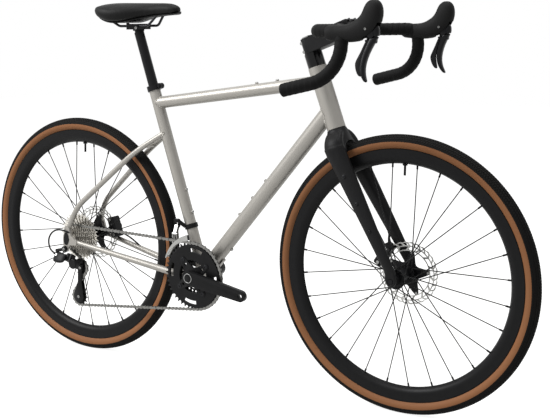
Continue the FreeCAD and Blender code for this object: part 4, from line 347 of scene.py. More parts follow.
def heads(name, head, seats, finish, body, slot, *replaced):
    """Like heads on one body, each set down by its seat and the way that it faces."""
    base = bpy.data.meshes.new("seats")
    base.from_pydata([tuple(seat) for seat, _ in seats], [], [])
    ways = base.attributes.new("facing", "FLOAT_VECTOR", "POINT")
    for spot, (_, way) in zip(ways.data, seats):
        spot.vector = way
    sample = set_out("sample", head)
    mesh = grown(seat_tree, {"Head": sample, "Finish": finish}, base)
    bpy.data.objects.remove(sample)
    return piece(name, smooth(mesh, 30), body, slot, *replaced)


steel = bright_steel("ground_stainless_steel", "7E7E7D", "A9A9A7", 0.001, 0.3)
black_steel = bright_steel("black_oxide_steel", "1C1C1D", "333335", 0.001, 0.35)
button = turned_head([(4.4, 0.0), (4.4, 0.7), (3.7, 1.8), (2.6, 2.3),
                      (1.5, 2.4, "hex"), (1.5, 0.9, "hex")])
frame_bosses = [m for m in frame["record"]["mounts"] if "tube" in m["name"] and "boss" in m["name"]]
fork_bosses = [m for m in frame["record"]["mounts"] if m["name"].startswith("fork_")]
heads("frame_boss_screws", button, [(m["pos_m"], m["axis"]) for m in frame_bosses], steel, "frame", "steel")
heads("fork_boss_screws", button, [(m["pos_m"], m["axis"]) for m in fork_bosses], black_steel, "steering",
      "dark_steel")


# Fork, rims and hubs: the fork and the deep rims are carbon, moulded in one and sealed with matt lacquer, so
# the legs flow into the crown with no edge. The hub shells and axles are turned alloy, anodised black.
def moulded_carbon(name, low, high, fibre, roughness):
    """Matt lacquer over carbon: faint long flecks of fibre and a soft cloudy sheen. Real fibres and grit are
    too fine to show; the flecks are drawn some millimetres wide and the grit at 0.6 mm."""
    material, tree = new_finish(name)
    flecks = add(tree, "ShaderNodeTexNoise", {"Vector": laid(tree, fibre), "Scale": 1.0,
                                              "Detail": 4.0}).outputs["Fac"]
    clouds = add(tree, "ShaderNodeTexNoise", {"Vector": laid(tree, 0.06), "Scale": 1.0}).outputs["Fac"]
    grit = add(tree, "ShaderNodeTexNoise", {"Vector": laid(tree, 0.0006), "Scale": 1.0}).outputs["Fac"]
    coated(tree, (flecks, low, high), (clouds, roughness - 0.06, roughness + 0.06),
           {"Specular IOR Level": 0.12}, (grit, 0.1, 0.0001))
    return material


def merged(source):
    """A copy of a CAD mesh with its loose triangles joined and its flat faces made whole."""
    mesh, shell = source.copy(), bmesh.new()
    shell.from_mesh(mesh)
    bmesh.ops.remove_doubles(shell, verts=shell.verts, dist=1e-6)
    bmesh.ops.dissolve_limit(shell, angle_limit=math.radians(1), verts=shell.verts, edges=shell.edges)
    return poured(shell, mesh)


def reshaped(mesh, kind, **settings):
    """The plain mesh that one modifier makes of a mesh."""
    thing = set_out("reshaped", mesh)
    modifier = thing.modifiers.new("shape", kind)
    for name, value in settings.items():
        setattr(modifier, name, value)
    return frozen(thing)


def skinned(rings, finish):
    """A closed skin through rings of equally many points, rounded by subdivision."""
    shell = bmesh.new()
    loops = [[shell.verts.new(point) for point in loop] for loop in rings]
    count = len(loops[0])
    for low, high in zip(loops, loops[1:]):
        for step in range(count):
            after = (step + 1) % count
            shell.faces.new((low[step], low[after], high[after], high[step]))
    shell.faces.new(loops[0])
    shell.faces.new(loops[-1])
    bmesh.ops.recalc_face_normals(shell, faces=shell.faces)
    mesh = finished(poured(shell, bpy.data.meshes.new("skin")), finish)
    return reshaped(mesh, "SUBSURF", levels=1, render_levels=1)


def oval(centre, tall, wide, square=2.4, count=20):
    """A rounded oval about a centre from its two half axes; square above 2 makes its sides fuller."""
    points = []
    for step in range(count):
        turn = math.tau * step / count
        a, b = math.cos(turn), math.sin(turn)
        points.append(centre + tall * math.copysign(abs(a) ** (2 / square), a)
                      + wide * math.copysign(abs(b) ** (2 / square), b))
    return points


fork_carbon = moulded_carbon("matt_carbon_fork", "101011", "1B1B1C", (0.004, 0.004, 0.03), 0.45)
steer_up, steer_ahead = lean(head_lean), lean(head_lean - 90)
# Each shoulder's sections: depth below the head tube, distance out, half length and half width.
shoulder_sections = ((84, 43.0, 26.0, 14.6), (46, 41.0, 27.6, 16.4), (31, 35.0, 26.4, 18.0),
                     (17, 23.0, 25.6, 18.0), (4, 8.0, 24.2, 14.0))
shell = bmesh.new()
shell.from_mesh(merged(cad["fork"].data))
for side in (-1, 1):
    rings = []
    for depth, out, long, wide in shoulder_sections:
        place = head_foot - steer_up * (depth * mm) + Vector((0, out * side * mm, 0))
        rings.append(oval(place, steer_ahead * (long * mm), Vector((0, wide * mm, 0)), 2.0))
    shell.from_mesh(skinned(rings, fork_carbon))
fork_mesh = poured(shell, bpy.data.meshes.new("fork"))
fork_grain, fork_passes = 2 * mm, 10
fork_mesh = reshaped(fork_mesh, "REMESH", mode="VOXEL", voxel_size=fork_grain, use_smooth_shade=True)
fork_mesh = finished(reshaped(fork_mesh, "SMOOTH", factor=0.5, iterations=fork_passes), fork_carbon)
piece("fork_moulding", smooth(fork_mesh, 60), "steering", "black_composite", "fork")
rim_carbon = moulded_carbon("matt_carbon_rim", "0B0B0C", "141415", (0.012, 0.002, 0.012), 0.42)
dress(rim_carbon, "front_rim", "rear_rim")


def black_metal(name, low, high, size, roughness):
    """Anodised or blackened metal: a tight even grain and slightly polished high spots. Real grain is under
    0.1 mm; it is drawn at 0.6 to 1 mm, so that it shows."""
    material, tree = new_finish(name)
    grain = add(tree, "ShaderNodeTexNoise", {"Vector": laid(tree, size), "Scale": 1.0,
                                             "Detail": 3.0}).outputs["Fac"]
    clouds = add(tree, "ShaderNodeTexNoise", {"Vector": laid(tree, 0.02), "Scale": 1.0}).outputs["Fac"]
    coated(tree, (clouds, low, high), (grain, roughness - 0.07, roughness + 0.07),
           {"Metallic": 0.3, "Specular IOR Level": 0.16}, (grain, 0.08, 0.0001))
    return material


black_spoke = black_metal("blackened_spoke_steel", "0A0A0B", "141415", 0.0008, 0.35)
black_alloy = black_metal("black_anodised_alloy", "121214", "1D1D1F", 0.0007, 0.42)
dress(black_alloy, "front_hub", "rear_hub", "front_thru_axle", "rear_thru_axle", "seat_clamp",
      "bottom_bracket_cups", "headset_bearings")


# Spokes: drawn steel wires, flattened to blades and blackened, hooked into the hub flanges and screwed into
# nipples at the rim. A blade is broad from the side, so each wire is drawn half a millimetre thicker.
spoke_swell = 0.5 * mm
for wheel in ("front", "rear"):
    mesh, shell = cad[wheel + "_spokes"].data.copy(), bmesh.new()
    shell.from_mesh(mesh)
    bmesh.ops.remove_doubles(shell, verts=shell.verts, dist=1e-6)
    shell.normal_update()
    for vertex in shell.verts:
        vertex.co += vertex.normal * spoke_swell
    mesh = finished(poured(shell, mesh), black_spoke)
    piece(wheel + "_bladed_spokes", smooth(mesh, 50), wheel + "_wheel", "dark_steel", wheel + "_spokes")


# Brake rotors: a stamped stainless band with a waved edge and slanted windows, held on a black alloy star
# by five rivets. A notched lockring clamps the star to the hub.
def ring(radius, count=96, wave=0.0, waves=0):
    """A round outline in millimetres, with its edge waved in and out."""
    points = []
    for step in range(count):
        turn = math.tau * step / count
        reach = radius + wave * math.cos(waves * turn)
        points.append((reach * math.cos(turn), reach * math.sin(turn)))
    return points


def window(inner, outer, middle, half, slant=0.0, count=5):
    """A curved window between two radii, about an angle in degrees, that may lean."""
    points = []
    for radius, shift, way in ((inner, -slant, 1), (outer, slant, -1)):
        for step in range(count):
            turn = math.radians(middle + shift + way * half * (2 * step / (count - 1) - 1))
            points.append((radius * math.cos(turn), radius * math.sin(turn)))
    return points


def plate(outlines, near, far, edge=0.2):
    """A flat plate square to Y: one outline round it and the rest as its holes, in millimetres."""
    curve = bpy.data.curves.new("plate", "CURVE")
    curve.dimensions, curve.fill_mode = "2D", "BOTH"
    curve.bevel_depth, curve.offset, curve.bevel_resolution = edge * mm, -edge * mm, 0
    curve.extrude = (abs(far - near) / 2 - edge) * mm
    for outline in outlines:
        spline = curve.splines.new("POLY")
        spline.points.add(len(outline) - 1)
        for point, (x, z) in zip(spline.points, outline):
            point.co = (x * mm, z * mm, 0, 1)
        spline.use_cyclic_u = True
    mesh, shell = frozen(set_out("plate", curve)), bmesh.new()
    shell.from_mesh(mesh)
    bmesh.ops.remove_doubles(shell, verts=shell.verts, dist=1e-6)
    bmesh.ops.recalc_face_normals(shell, faces=shell.faces)
    stood = Matrix.Translation((0, (near + far) / 2 * mm, 0)) @ Matrix.Rotation(math.pi / 2, 4, "X")
    poured(shell, mesh).transform(stood)
    return mesh


def placed(mesh, place, finish):
    """A copy of a mesh at a place, with its finish."""
    copy = finished(mesh.copy(), finish)
    copy.transform(Matrix.Translation(place))
    return smooth(copy, 30)


star_arms, star_turn, star_tip, star_waist, tip_half = 5, 7, 56.8, 30.0, 4.5
arm_gap = 360 // star_arms
star_outline = []
for arm in range(star_arms):
    for step in range(-18, 18):
        off = abs(step) * 2.0
        fall = (1 - (off - tip_half) / (arm_gap / 2 - tip_half)) if off >= tip_half else 1.0
        reach = star_waist + (star_tip - star_waist) * fall ** 2.2
        turn = math.radians(arm * arm_gap + star_turn + step * 2.0)
        star_outline.append((reach * math.cos(turn), reach * math.sin(turn)))
windows = [window(70.4, 76.4, 12 * n, 4.2, 2.4) for n in range(30)]
windows += [window(59.6, 67.6, 24 * n + 7, 9.4, -3.0) for n in range(15)]
band = plate([ring(78.9, 360, 1.0, 30), ring(57.0)] + windows, -0.9, 0.9, 0.15)
star = plate([star_outline, ring(18.0)], -1.3, 1.3, 0.3)
lock = plate([ring(20.4, 192, 0.5, 16), ring(14.5)], -1.3, 1.3, 0.3)
rivet = turned_head([(3.1, 0.0), (3.1, 0.5), (2.2, 0.9), (1.2, 0.9), (1.2, 0.5)], 16)
rotor_steel = bright_steel("stamped_rotor_steel", "8A8A88", "B4B4B1", 0.0012, 0.32)
rotor_plane = {"front": 39.5 * mm, "rear": 52.0 * mm}
for wheel, axle in (("front", front_axle), ("rear", rear_axle)):
    body, node = wheel + "_wheel", wheel + "_rotor"
    centre = axle + Vector((0, rotor_plane[wheel], 0))
    piece(node + "_band", placed(band, centre, rotor_steel), body, "steel", node)
    piece(node + "_star", placed(star, centre, black_alloy), body, "black_alloy", node)
    lock_place = centre + Vector((0, 2.8 * mm, 0))
    piece(node + "_lockring", placed(lock, lock_place, black_alloy), body, "black_alloy", node)
    seats = []
    for arm in range(star_arms):
        out = lean(arm_gap * arm + star_turn) * (53.0 * mm)
        seats += [(centre + out + Vector((0, 1.3 * mm * side, 0)), (0, side, 0)) for side in (-1, 1)]
    heads(node + "_rivets", rivet, seats, steel, body, "steel", node)


# Chain and cassette: rolled steel plates riveted on pins, dark with oil, and stamped cogs with a pale nickel
# plating that slide onto the freehub.
dress(bright_steel("oiled_chain_steel", "4C4C4A", "92918E", 0.003, 0.34), "chain")
dress(bright_steel("plated_cog_steel", "B4B1AB", "DAD7D1", 0.0015, 0.38), "cassette")


# Tyres: gravel tyres with a black rubber tread of small staggered knobs and tan cotton side walls
# under a thin rubber skin. A black strip of rubber covers each bead where it meets the rim.

# Rubbered cotton: a matt brown with stained patches of 50 mm and a faint weave. Real threads are 0.4 mm apart
# and are drawn at 1.6 mm, so that they show.
tan_wall, tree = new_finish("tan_side_wall_rubber")
weave = add(tree, "ShaderNodeTexNoise", {"Vector": laid(tree, 0.0016), "Scale": 1.0,
                                         "Detail": 3.0}).outputs["Fac"]
stain = add(tree, "ShaderNodeTexNoise", {"Vector": laid(tree, 0.05), "Scale": 1.0}).outputs["Fac"]
tone = add(tree, "ShaderNodeMix", {0: weave, 6: linear("7D5032"), 7: linear("986742")},
           data_type="RGBA").outputs[2]
patch = add(tree, "ShaderNodeMapRange", {"Value": stain, "To Min": 0.0, "To Max": 0.5}).outputs["Result"]
coated(tree, (patch, tone, "865A3B"), (weave, 0.55, 0.75), {"Specular IOR Level": 0.25}, (weave, 0.2, 0.0002))

# Moulded rubber: a dull black that dust greys in spots of 3 mm.
tread_rubber, tree = new_finish("black_tread_rubber")
dust = add(tree, "ShaderNodeTexNoise", {"Vector": laid(tree, 0.003), "Scale": 1.0,
                                        "Detail": 4.0}).outputs["Fac"]
coated(tree, (dust, "101010", "1D1C1B"), (dust, 0.62, 0.85), {"Specular IOR Level": 0.1}, (dust, 0.15, 0.0003))

tread_tree, given = new_tree("tread_knobs", Knobs_round="Int", Knobs_across="Int", Knob_size="Vector",
                             Core_radius="Float", Section_radius="Float", First_angle="Float",
                             Angle_across="Float")
knob = add(tread_tree, "GeometryNodeMeshCube", {"Size": given["Knob size"]}).outputs["Mesh"]
outward = add(tread_tree, "FunctionNodeAlignRotationToVector",
              {"Vector": add(tread_tree, "GeometryNodeInputPosition").outputs["Position"]}, axis="X")
index = add(tread_tree, "GeometryNodeInputIndex").outputs["Index"]
turn_step = add(tread_tree, "ShaderNodeMath", {0: math.tau, 1: given["Knobs round"]},
                operation="DIVIDE").outputs[0]
knob_rows = []
for stagger in (0.0, 0.5):
    arc_count = add(tread_tree, "ShaderNodeMath", {0: given["Knobs across"], 1: -2 * stagger}).outputs[0]
    gaps = add(tread_tree, "ShaderNodeMath", {0: given["Knobs across"], 1: -1.0}).outputs[0]
    gap = add(tread_tree, "ShaderNodeMath", {0: given["Angle across"], 1: gaps}, operation="DIVIDE").outputs[0]
    first = add(tread_tree, "ShaderNodeMath", {0: gap, 1: stagger, 2: given["First angle"]},
                operation="MULTIPLY_ADD").outputs[0]
    sweep = add(tread_tree, "ShaderNodeMath", {0: gap, 1: -2 * stagger, 2: given["Angle across"]},
                operation="MULTIPLY_ADD").outputs[0]
    arc = add(tread_tree, "GeometryNodeCurveArc", {"Resolution": arc_count, "Radius": given["Section radius"],
                                                   "Start Angle": first, "Sweep Angle": sweep})
    row = add(tread_tree, "GeometryNodeInstanceOnPoints", {"Points": arc.outputs["Curve"], "Instance": knob,
                                                           "Rotation": outward.outputs["Rotation"]})
    row = add(tread_tree, "GeometryNodeRealizeInstances", {"Geometry": row.outputs["Instances"]})
    lift = add(tread_tree, "ShaderNodeCombineXYZ", {"Z": given["Core radius"]}).outputs["Vector"]
    row = add(tread_tree, "GeometryNodeTransform", {"Geometry": row.outputs["Geometry"], "Translation": lift,
                                                    "Rotation": (math.pi / 2, 0, math.pi / 2)})
    turn = add(tread_tree, "ShaderNodeMath", {0: index, 1: stagger}).outputs[0]
    turn = add(tread_tree, "ShaderNodeMath", {0: turn, 1: turn_step}, operation="MULTIPLY").outputs[0]
    turn = add(tread_tree, "ShaderNodeCombineXYZ", {"Y": turn}).outputs["Vector"]
    spin = add(tread_tree, "FunctionNodeEulerToRotation", {0: turn})
    seats = add(tread_tree, "GeometryNodePoints", {"Count": given["Knobs round"]})
    knob_rows.append(add(tread_tree, "GeometryNodeInstanceOnPoints",
                         {"Points": seats.outputs["Points"], "Instance": row.outputs["Geometry"],
                          "Rotation": spin.outputs["Rotation"]}).outputs["Instances"])
tread = add(tread_tree, "GeometryNodeJoinGeometry")
for knob_row in knob_rows:
    tread_tree.links.new(knob_row, tread.inputs["Geometry"])
ends_in(tread_tree, tread.outputs["Geometry"], tread_rubber)
tyre_core, rim_seat, bead_strip_top = 331, 313.0, 317
knobs = grown(tread_tree, {"Knobs round": 320, "Knobs across": 5,
                           "Knob size": (2.4 * mm, 3.9 * mm, 4.6 * mm),
                           "Core radius": tyre_core * mm, "Section radius": 17.9 * mm,
                           "First angle": math.radians(13), "Angle across": math.radians(154)})


def casing():
    """A tyre's casing about the Y axis: tread cap, tan walls and bead strips as three finishes."""
    outline = []
    for degree in range(-53, 234, 3):
        tilt = math.radians(degree)
        height = tyre_core + 19 * math.sin(tilt)
        if height < bead_strip_top:
            thick, finish = 18.75, 2
        elif degree < 9 or degree > 171:
            thick, finish = 18.7, 1
        else:
            thick, finish = 18.3 - 0.6 * math.sin(tilt), 0
        outline.append((thick * math.cos(tilt), tyre_core + thick * math.sin(tilt), finish))
    outline.insert(0, (11.2, rim_seat, 2))
    outline += [(-11.2, rim_seat, 2), (-9.0, rim_seat, 2), (0.0, 316.0, 2), (9.0, rim_seat, 2)]
    shell, rounds, loops = bmesh.new(), 240, []
    for step in range(rounds):
        turn = math.tau * step / rounds
        loops.append([shell.verts.new((r * mm * math.sin(turn), y * mm, r * mm * math.cos(turn)))
                      for y, r, _ in outline])
    for step in range(rounds):
        here, following = loops[step], loops[(step + 1) % rounds]
        for place in range(len(outline)):
            after = (place + 1) % len(outline)
            face = shell.faces.new((here[place], following[place], following[after], here[after]))
            face.material_index = outline[place][2]
            face.smooth = True
    bmesh.ops.recalc_face_normals(shell, faces=shell.faces)
    return poured(shell, bpy.data.meshes.new("casing"))


for wheel, axle in (("front", front_axle), ("rear", rear_axle)):
    mesh = finished(casing(), tread_rubber, tan_wall, tread_rubber)
    mesh.transform(Matrix.Translation(axle))
    piece(wheel + "_tyre_casing", mesh, wheel + "_wheel", "tyre", wheel + "_tyre")
    mesh = knobs.copy()
    mesh.transform(Matrix.Translation(axle))
    piece(wheel + "_tyre_tread", mesh, wheel + "_wheel", "tyre", wheel + "_tyre")


# Headset spacers, stem and bolts: gloss black spacers under a forged alloy stem, blasted and anodised. Its
# rear clamp closes with bright steel bolts, and its front plate with black ones.

# Lacquer: near black, with a clear reflection that is a little softer in patches of 30 mm.
gloss_black, tree = new_finish("gloss_black_lacquer")
swirl = add(tree, "ShaderNodeTexNoise", {"Vector": laid(tree, 0.03), "Scale": 1.0}).outputs["Fac"]
coated(tree, (swirl, "060607", "0B0B0C"), (swirl, 0.12, 0.2),
       {"Specular IOR Level": 0.2, "Coat Weight": 0.08, "Coat Roughness": 0.05})
dress(gloss_black, "headset_spacers")


def softened(node, width, finish, slot):
    """A copy of a CAD node with its loose triangles merged and its sharp edges rounded off."""
    mesh = finished(merged(cad[node].data), finish)
    mesh = reshaped(mesh, "BEVEL", width=width * mm, segments=2, limit_method="ANGLE",
                    angle_limit=math.radians(35), harden_normals=False)
    return piece(node + "_rounded", smooth(mesh, 30), cad[node]["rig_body"], slot, node)


blasted_alloy = black_metal("blasted_black_alloy", "121213", "1C1C1D", 0.0006, 0.5)
softened("stem", 0.8, blasted_alloy, "black_alloy")
stem_rear = head_foot + lean(head_lean) * 0.216
for face in finished(cad["stem_bolts"].data, black_steel, steel).polygons:
    face.material_index = 1 if face.center.x < stem_rear.x else 0
dress(blasted_alloy, "handlebar")


# Bar tape: a long strip of black foam-backed tape wound round the bar with a half overlap, so that
# each turn shows as a low step, and pushed into the bar's end under a rubber plug.

# Foam tape: a dull black skin, worn in patches of 20 mm, with pores. Real pores are under 1 mm and are drawn at
# 2.2 mm, so that they show.
tape_cloth, tree = new_finish("black_foam_bar_tape")
pores = add(tree, "ShaderNodeTexVoronoi", {"Vector": laid(tree, 0.0022), "Scale": 1.0}).outputs["Distance"]
worn = add(tree, "ShaderNodeTexNoise", {"Vector": laid(tree, 0.02), "Scale": 1.0, "Detail": 3.0}).outputs["Fac"]
coated(tree, (worn, "0A0A0A", "131313"), (worn, 0.6, 0.8), {"Specular IOR Level": 0.1}, (pores, 0.35, 0.0004))
bar_middle = Vector((0.370973, 0, 0.946398))


def at_bar(forward, side, rise):
    """A place measured from the middle of the bar's clamp, in millimetres."""
    return bar_middle + Vector((forward, side, rise)) * mm


def rounded_line(points, rounds):
    """Straight runs joined by arcs."""
    line = [points[0]]
    for before, corner, after, radius in zip(points, points[1:], points[2:], rounds):
        first, last = (before - corner).normalized(), (after - corner).normalized()
        half = first.angle(last) / 2
        middle = corner + (first + last).normalized() * (radius / math.sin(half))
        start = (corner + first * (radius / math.tan(half)) - middle).normalized()
        end = (corner + last * (radius / math.tan(half)) - middle).normalized()
        line += [middle + start.slerp(end, step / 12) * radius for step in range(13)]
    return line + [points[-1]]


tape_tree, given = new_tree("wound_tape", Line="Object", Tape_radius="Float", Turn_step="Float",
                            Edge_height="Float")
line = add(tape_tree, "GeometryNodeObjectInfo", {"Object": given["Line"]}).outputs["Geometry"]
line = add(tape_tree, "GeometryNodeResampleCurve", {"Curve": line, "Length": 1.5 * mm},
           mode="LENGTH").outputs["Curve"]
spot = add(tape_tree, "GeometryNodeSplineParameter").outputs
line = add(tape_tree, "GeometryNodeStoreNamedAttribute",
           {"Geometry": line, "Name": "reach", "Value": spot["Length"]},
           data_type="FLOAT", domain="POINT").outputs["Geometry"]
section = add(tape_tree, "GeometryNodeCurvePrimitiveCircle", {"Resolution": 40, "Radius": given["Tape radius"]})
section = add(tape_tree, "GeometryNodeStoreNamedAttribute",
              {"Geometry": section.outputs["Curve"], "Name": "round", "Value": spot["Factor"]},
              data_type="FLOAT", domain="POINT").outputs["Geometry"]
wound = add(tape_tree, "GeometryNodeCurveToMesh", {"Curve": line, "Profile Curve": section, "Fill Caps": True})
reach = add(tape_tree, "GeometryNodeInputNamedAttribute", {"Name": "reach"}, data_type="FLOAT").outputs[0]
turn = add(tape_tree, "GeometryNodeInputNamedAttribute", {"Name": "round"}, data_type="FLOAT").outputs[0]
turns = add(tape_tree, "ShaderNodeMath", {0: reach, 1: given["Turn step"]}, operation="DIVIDE").outputs[0]
turns = add(tape_tree, "ShaderNodeMath", {0: turns, 1: turn}, operation="ADD").outputs[0]
share = add(tape_tree, "ShaderNodeMath", {0: turns}, operation="FRACT").outputs[0]
lift = add(tape_tree, "ShaderNodeMath", {0: share, 1: given["Edge height"]}, operation="MULTIPLY").outputs[0]
outward = add(tape_tree, "GeometryNodeInputNormal").outputs["Normal"]
lift = add(tape_tree, "ShaderNodeVectorMath", {0: outward, "Scale": lift}, operation="SCALE").outputs[0]
wound = add(tape_tree, "GeometryNodeSetPosition", {"Geometry": wound.outputs["Mesh"], "Offset": lift})
ends_in(tape_tree, wound.outputs["Geometry"], tape_cloth)
plug = turned_head([(14.8, -2.0), (14.8, 1.4), (13.4, 2.7), (9.0, 3.4), (4.0, 3.6)], 32)

# Moulded rubber: smoother than the tape, with a soft highlight that scuffs of 4 mm break up.
bar_rubber, tree = new_finish("moulded_plug_rubber")
worn = add(tree, "ShaderNodeTexNoise", {"Vector": laid(tree, 0.004), "Scale": 1.0}).outputs["Fac"]
coated(tree, (worn, "0B0B0B", "141414"), (worn, 0.4, 0.55), {"Specular IOR Level": 0.14})

# The bar's corners from the clamp to its end, forward, out and up, and the radii of its three bends.
lever_out = 197
bar_corners = ((0, 72, 0), (0, 160, 0), (94, lever_out, 0), (94, 214, -101), (-41, 234, -132))
bar_rounds = (40 * mm, 28 * mm, 88 * mm)
bar_ends = []
for hand, side in (("right", -1), ("left", 1)):
    turns = [at_bar(forward, out * side, rise) for forward, out, rise in bar_corners]
    guide = path(rounded_line(turns, bar_rounds))
    mesh = grown(tape_tree, {"Line": guide, "Tape radius": 15.1 * mm, "Turn step": 15 * mm,
                             "Edge height": 0.7 * mm})
    bpy.data.objects.remove(guide)
    piece(hand + "_bar_tape", smooth(mesh, 50), "steering", "rubber", "bar_tape")
    bar_ends.append((turns[-1], (turns[-1] - turns[-2]).normalized()))
heads("bar_end_plugs", plug, bar_ends, bar_rubber, "steering", "rubber", "bar_tape")


# Brake hoods and levers: soft rubber moulded over the lever bodies, with a raised horn to hold, and forged
# alloy blades with a satin coat. A shift paddle hangs behind each blade.

# Moulded rubber: dull and black, with a grip of raised spots of 2.5 mm that breaks up the highlights.
hood_rubber, tree = new_finish("moulded_hood_rubber")
grip = add(tree, "ShaderNodeTexVoronoi", {"Vector": laid(tree, 0.0025), "Scale": 1.0}).outputs["Distance"]
worn = add(tree, "ShaderNodeTexNoise", {"Vector": laid(tree, 0.02), "Scale": 1.0}).outputs["Fac"]
coated(tree, (worn, "0A0A0A", "131313"), (worn, 0.55, 0.72), {"Specular IOR Level": 0.14}, (grip, 0.2, 0.0003))

# Sections from the bar outwards, in millimetres from the bar's clamp. Hood: forward, rise, tilt, half height
# and half width. Lever head and blade: forward, rise, flare, half depth and half width. Paddle: front, back,
# rise and flare.
hood_sections = ((50, -4, 0, 17.8, 16.4), (72, -5, 0, 18.2, 16.8), (97, -6, 3, 19.2, 17.1),
                 (118, -5, 10, 21.2, 17.4), (137, 0, 30, 25.2, 17.8), (157, 12, 55, 27.0, 18.2),
                 (168, 28, 72, 26.0, 18.4), (171.5, 44, 82, 23.5, 17.8), (172.5, 56, 86, 19.5, 15.5),
                 (173, 63.5, 88, 13.0, 10.5), (173.2, 67, 89, 6.0, 5.0))
head_sections = ((175, 13, 0, 5.5, 5.6), (176, 7, 0, 9.0, 8.4), (176, -1, 0, 10.5, 9.2),
                 (174.6, -9, 0, 11.0, 9.4), (174.1, -11.3, 0, 11.0, 9.4), (174, -12.1, 0, 10.8, 9.2))
blade_sections = ((173.8, -12.9, 0, 9.8, 3.8), (173.4, -13.6, 0, 10.2, 6.2), (172.6, -16, 0, 10.2, 8.4),
                  (171, -19, 0.2, 10.0, 9.2), (163.5, -33, 2, 8.8, 9.6), (156, -50, 5, 7.6, 9.2),
                  (150.5, -72, 9, 6.4, 9.0), (151.5, -89, 13, 5.6, 8.6), (156.5, -102, 16, 4.8, 7.4),
                  (163, -112, 18.6, 3.4, 5.4))
paddle_sections = ((159.2, 152, -22, 0), (154.3, 147, -34, 0.6), (149.8, 141, -46, 1.8),
                   (146.4, 133.5, -60, 3.4), (144.4, 127.5, -70, 4.6), (144.6, 130, -82, 6.2),
                   (146.5, 134, -93, 7.8), (147, 141, -100, 8.8))
lever_coat = black_metal("satin_lever_coat", "0E0E10", "1B1B1D", 0.0008, 0.33)
pin_end = turned_head([(2.7, -1.0), (2.7, 0.5), (2.2, 0.9), (1.2, 0.9, "hex"), (1.2, 0.2, "hex")])
pin_seats = []
for hand, side in (("right", -1), ("left", 1)):
    rings = []
    for forward, rise, tilt, tall, wide in hood_sections:
        rings.append(oval(at_bar(forward, lever_out * side, rise), lean(90 + tilt) * (tall * mm),
                          Vector((0, wide * mm, 0))))
    mesh = skinned(rings, hood_rubber)
    cut = bmesh.new()
    low, high = at_bar(142, lever_out * side - 10.6, -101), at_bar(220, lever_out * side + 10.6, 17)
    bmesh.ops.create_cube(cut, size=1.0, matrix=Matrix.LocRotScale((low + high) / 2, None, high - low))
    cutter = set_out("slot", poured(cut, bpy.data.meshes.new("slot")))
    mesh = reshaped(mesh, "BOOLEAN", object=cutter, operation="DIFFERENCE", solver="EXACT")
    bpy.data.objects.remove(cutter)
    piece(hand + "_hood", smooth(mesh, 40), "steering", "rubber", "brake_hoods")
    pin_seats += [(at_bar(159, lever_out * side + 16.6 * way, 4), (0, way, 0)) for way in (-1, 1)]
    for part, sections, body in (("_lever_head", head_sections, "_lever_pivot"),
                                 ("_blade", blade_sections, "_brake_lever")):
        rings = []
        for forward, rise, flare, deep, wide in sections:
            rings.append(oval(at_bar(forward, (lever_out + flare) * side, rise), Vector((deep * mm, 0, 0)),
                              Vector((0, wide * mm, 0)), 2.8))
        piece(hand + part, smooth(skinned(rings, lever_coat), 60), hand + body, "black_alloy", hand + body)
    rings = []
    for front, back, rise, flare in paddle_sections:
        middle = at_bar((front + back) / 2, (lever_out + flare) * side, rise)
        rings.append(oval(middle, Vector(((front - back) / 2 * mm, 0, 0)), Vector((0, 3.2 * mm, 0)), 3.0))
    piece(hand + "_paddle", smooth(skinned(rings, lever_coat), 60), hand + "_shift_paddle", "black_alloy",
          hand + "_shift_paddle")
    softened(hand + "_lever_pivot", 0.5, lever_coat, "black_alloy")
heads("lever_pin_ends", pin_end, pin_seats, steel, "steering", "steel", "brake_hoods")


# Seatpost and saddle clamp: a moulded composite post with long fibre streaks, a black alloy cradle and
# clamp, steel rails and a bright barrel nut each side of the front bolt.
dress(moulded_carbon("streaked_composite_post", "0D0D0E", "1F1F21", (0.003, 0.003, 0.06), 0.34), "seatpost")
softened("saddle_clamp", 0.6, black_alloy, "black_alloy")
dress(black_steel, "saddle_rails")

# Moulded nylon: the mould's eroded texture, under 1 mm and drawn at 1.5 mm, spreads the highlights.
moulded_plastic, tree = new_finish("moulded_black_nylon")
spark = add(tree, "ShaderNodeTexNoise", {"Vector": laid(tree, 0.0015), "Scale": 1.0,
                                         "Detail": 3.0}).outputs["Fac"]
coated(tree, (spark, "0B0B0B", "151515"), (spark, 0.45, 0.62), {"Specular IOR Level": 0.16},
       (spark, 0.15, 0.0002))
dress(moulded_plastic, "saddle_shell")

rail_middle = bottom_bracket + lean(seat_lean) * 0.7079 + Vector((0.004, 0, 0))
socket = turned_head([(3.9, -1.0), (3.9, 2.4), (3.5, 3.0), (2.0, 3.0, "hex"), (2.0, 1.2, "hex")])
heads("saddle_barrel_nuts", socket, [(rail_middle + Vector((0.0145, 0.0275 * side, -0.0052)), (0, side, 0))
                                     for side in (-1, 1)], steel, "seatpost", "steel")


# Saddle cover: smooth black synthetic leather stretched over foam and glued under the shell's edge. The
# foam's swell is found by inflating a cloth copy of the pad whose underside is glued down.

# Synthetic leather: a low sheen that follows its stretch, and a pebbled grain of 0.5 mm, drawn at 1.4 mm.
cover, tree = new_finish("black_synthetic_leather")
grain = add(tree, "ShaderNodeTexVoronoi", {"Vector": laid(tree, 0.0014), "Scale": 1.0},
            feature="DISTANCE_TO_EDGE").outputs["Distance"]
folds = add(tree, "ShaderNodeTexNoise", {"Vector": laid(tree, 0.03), "Scale": 1.0}).outputs["Fac"]
coated(tree, (folds, "090909", "111111"), (folds, 0.48, 0.6), {"Specular IOR Level": 0.14},
       (grain, 0.15, 0.0002))

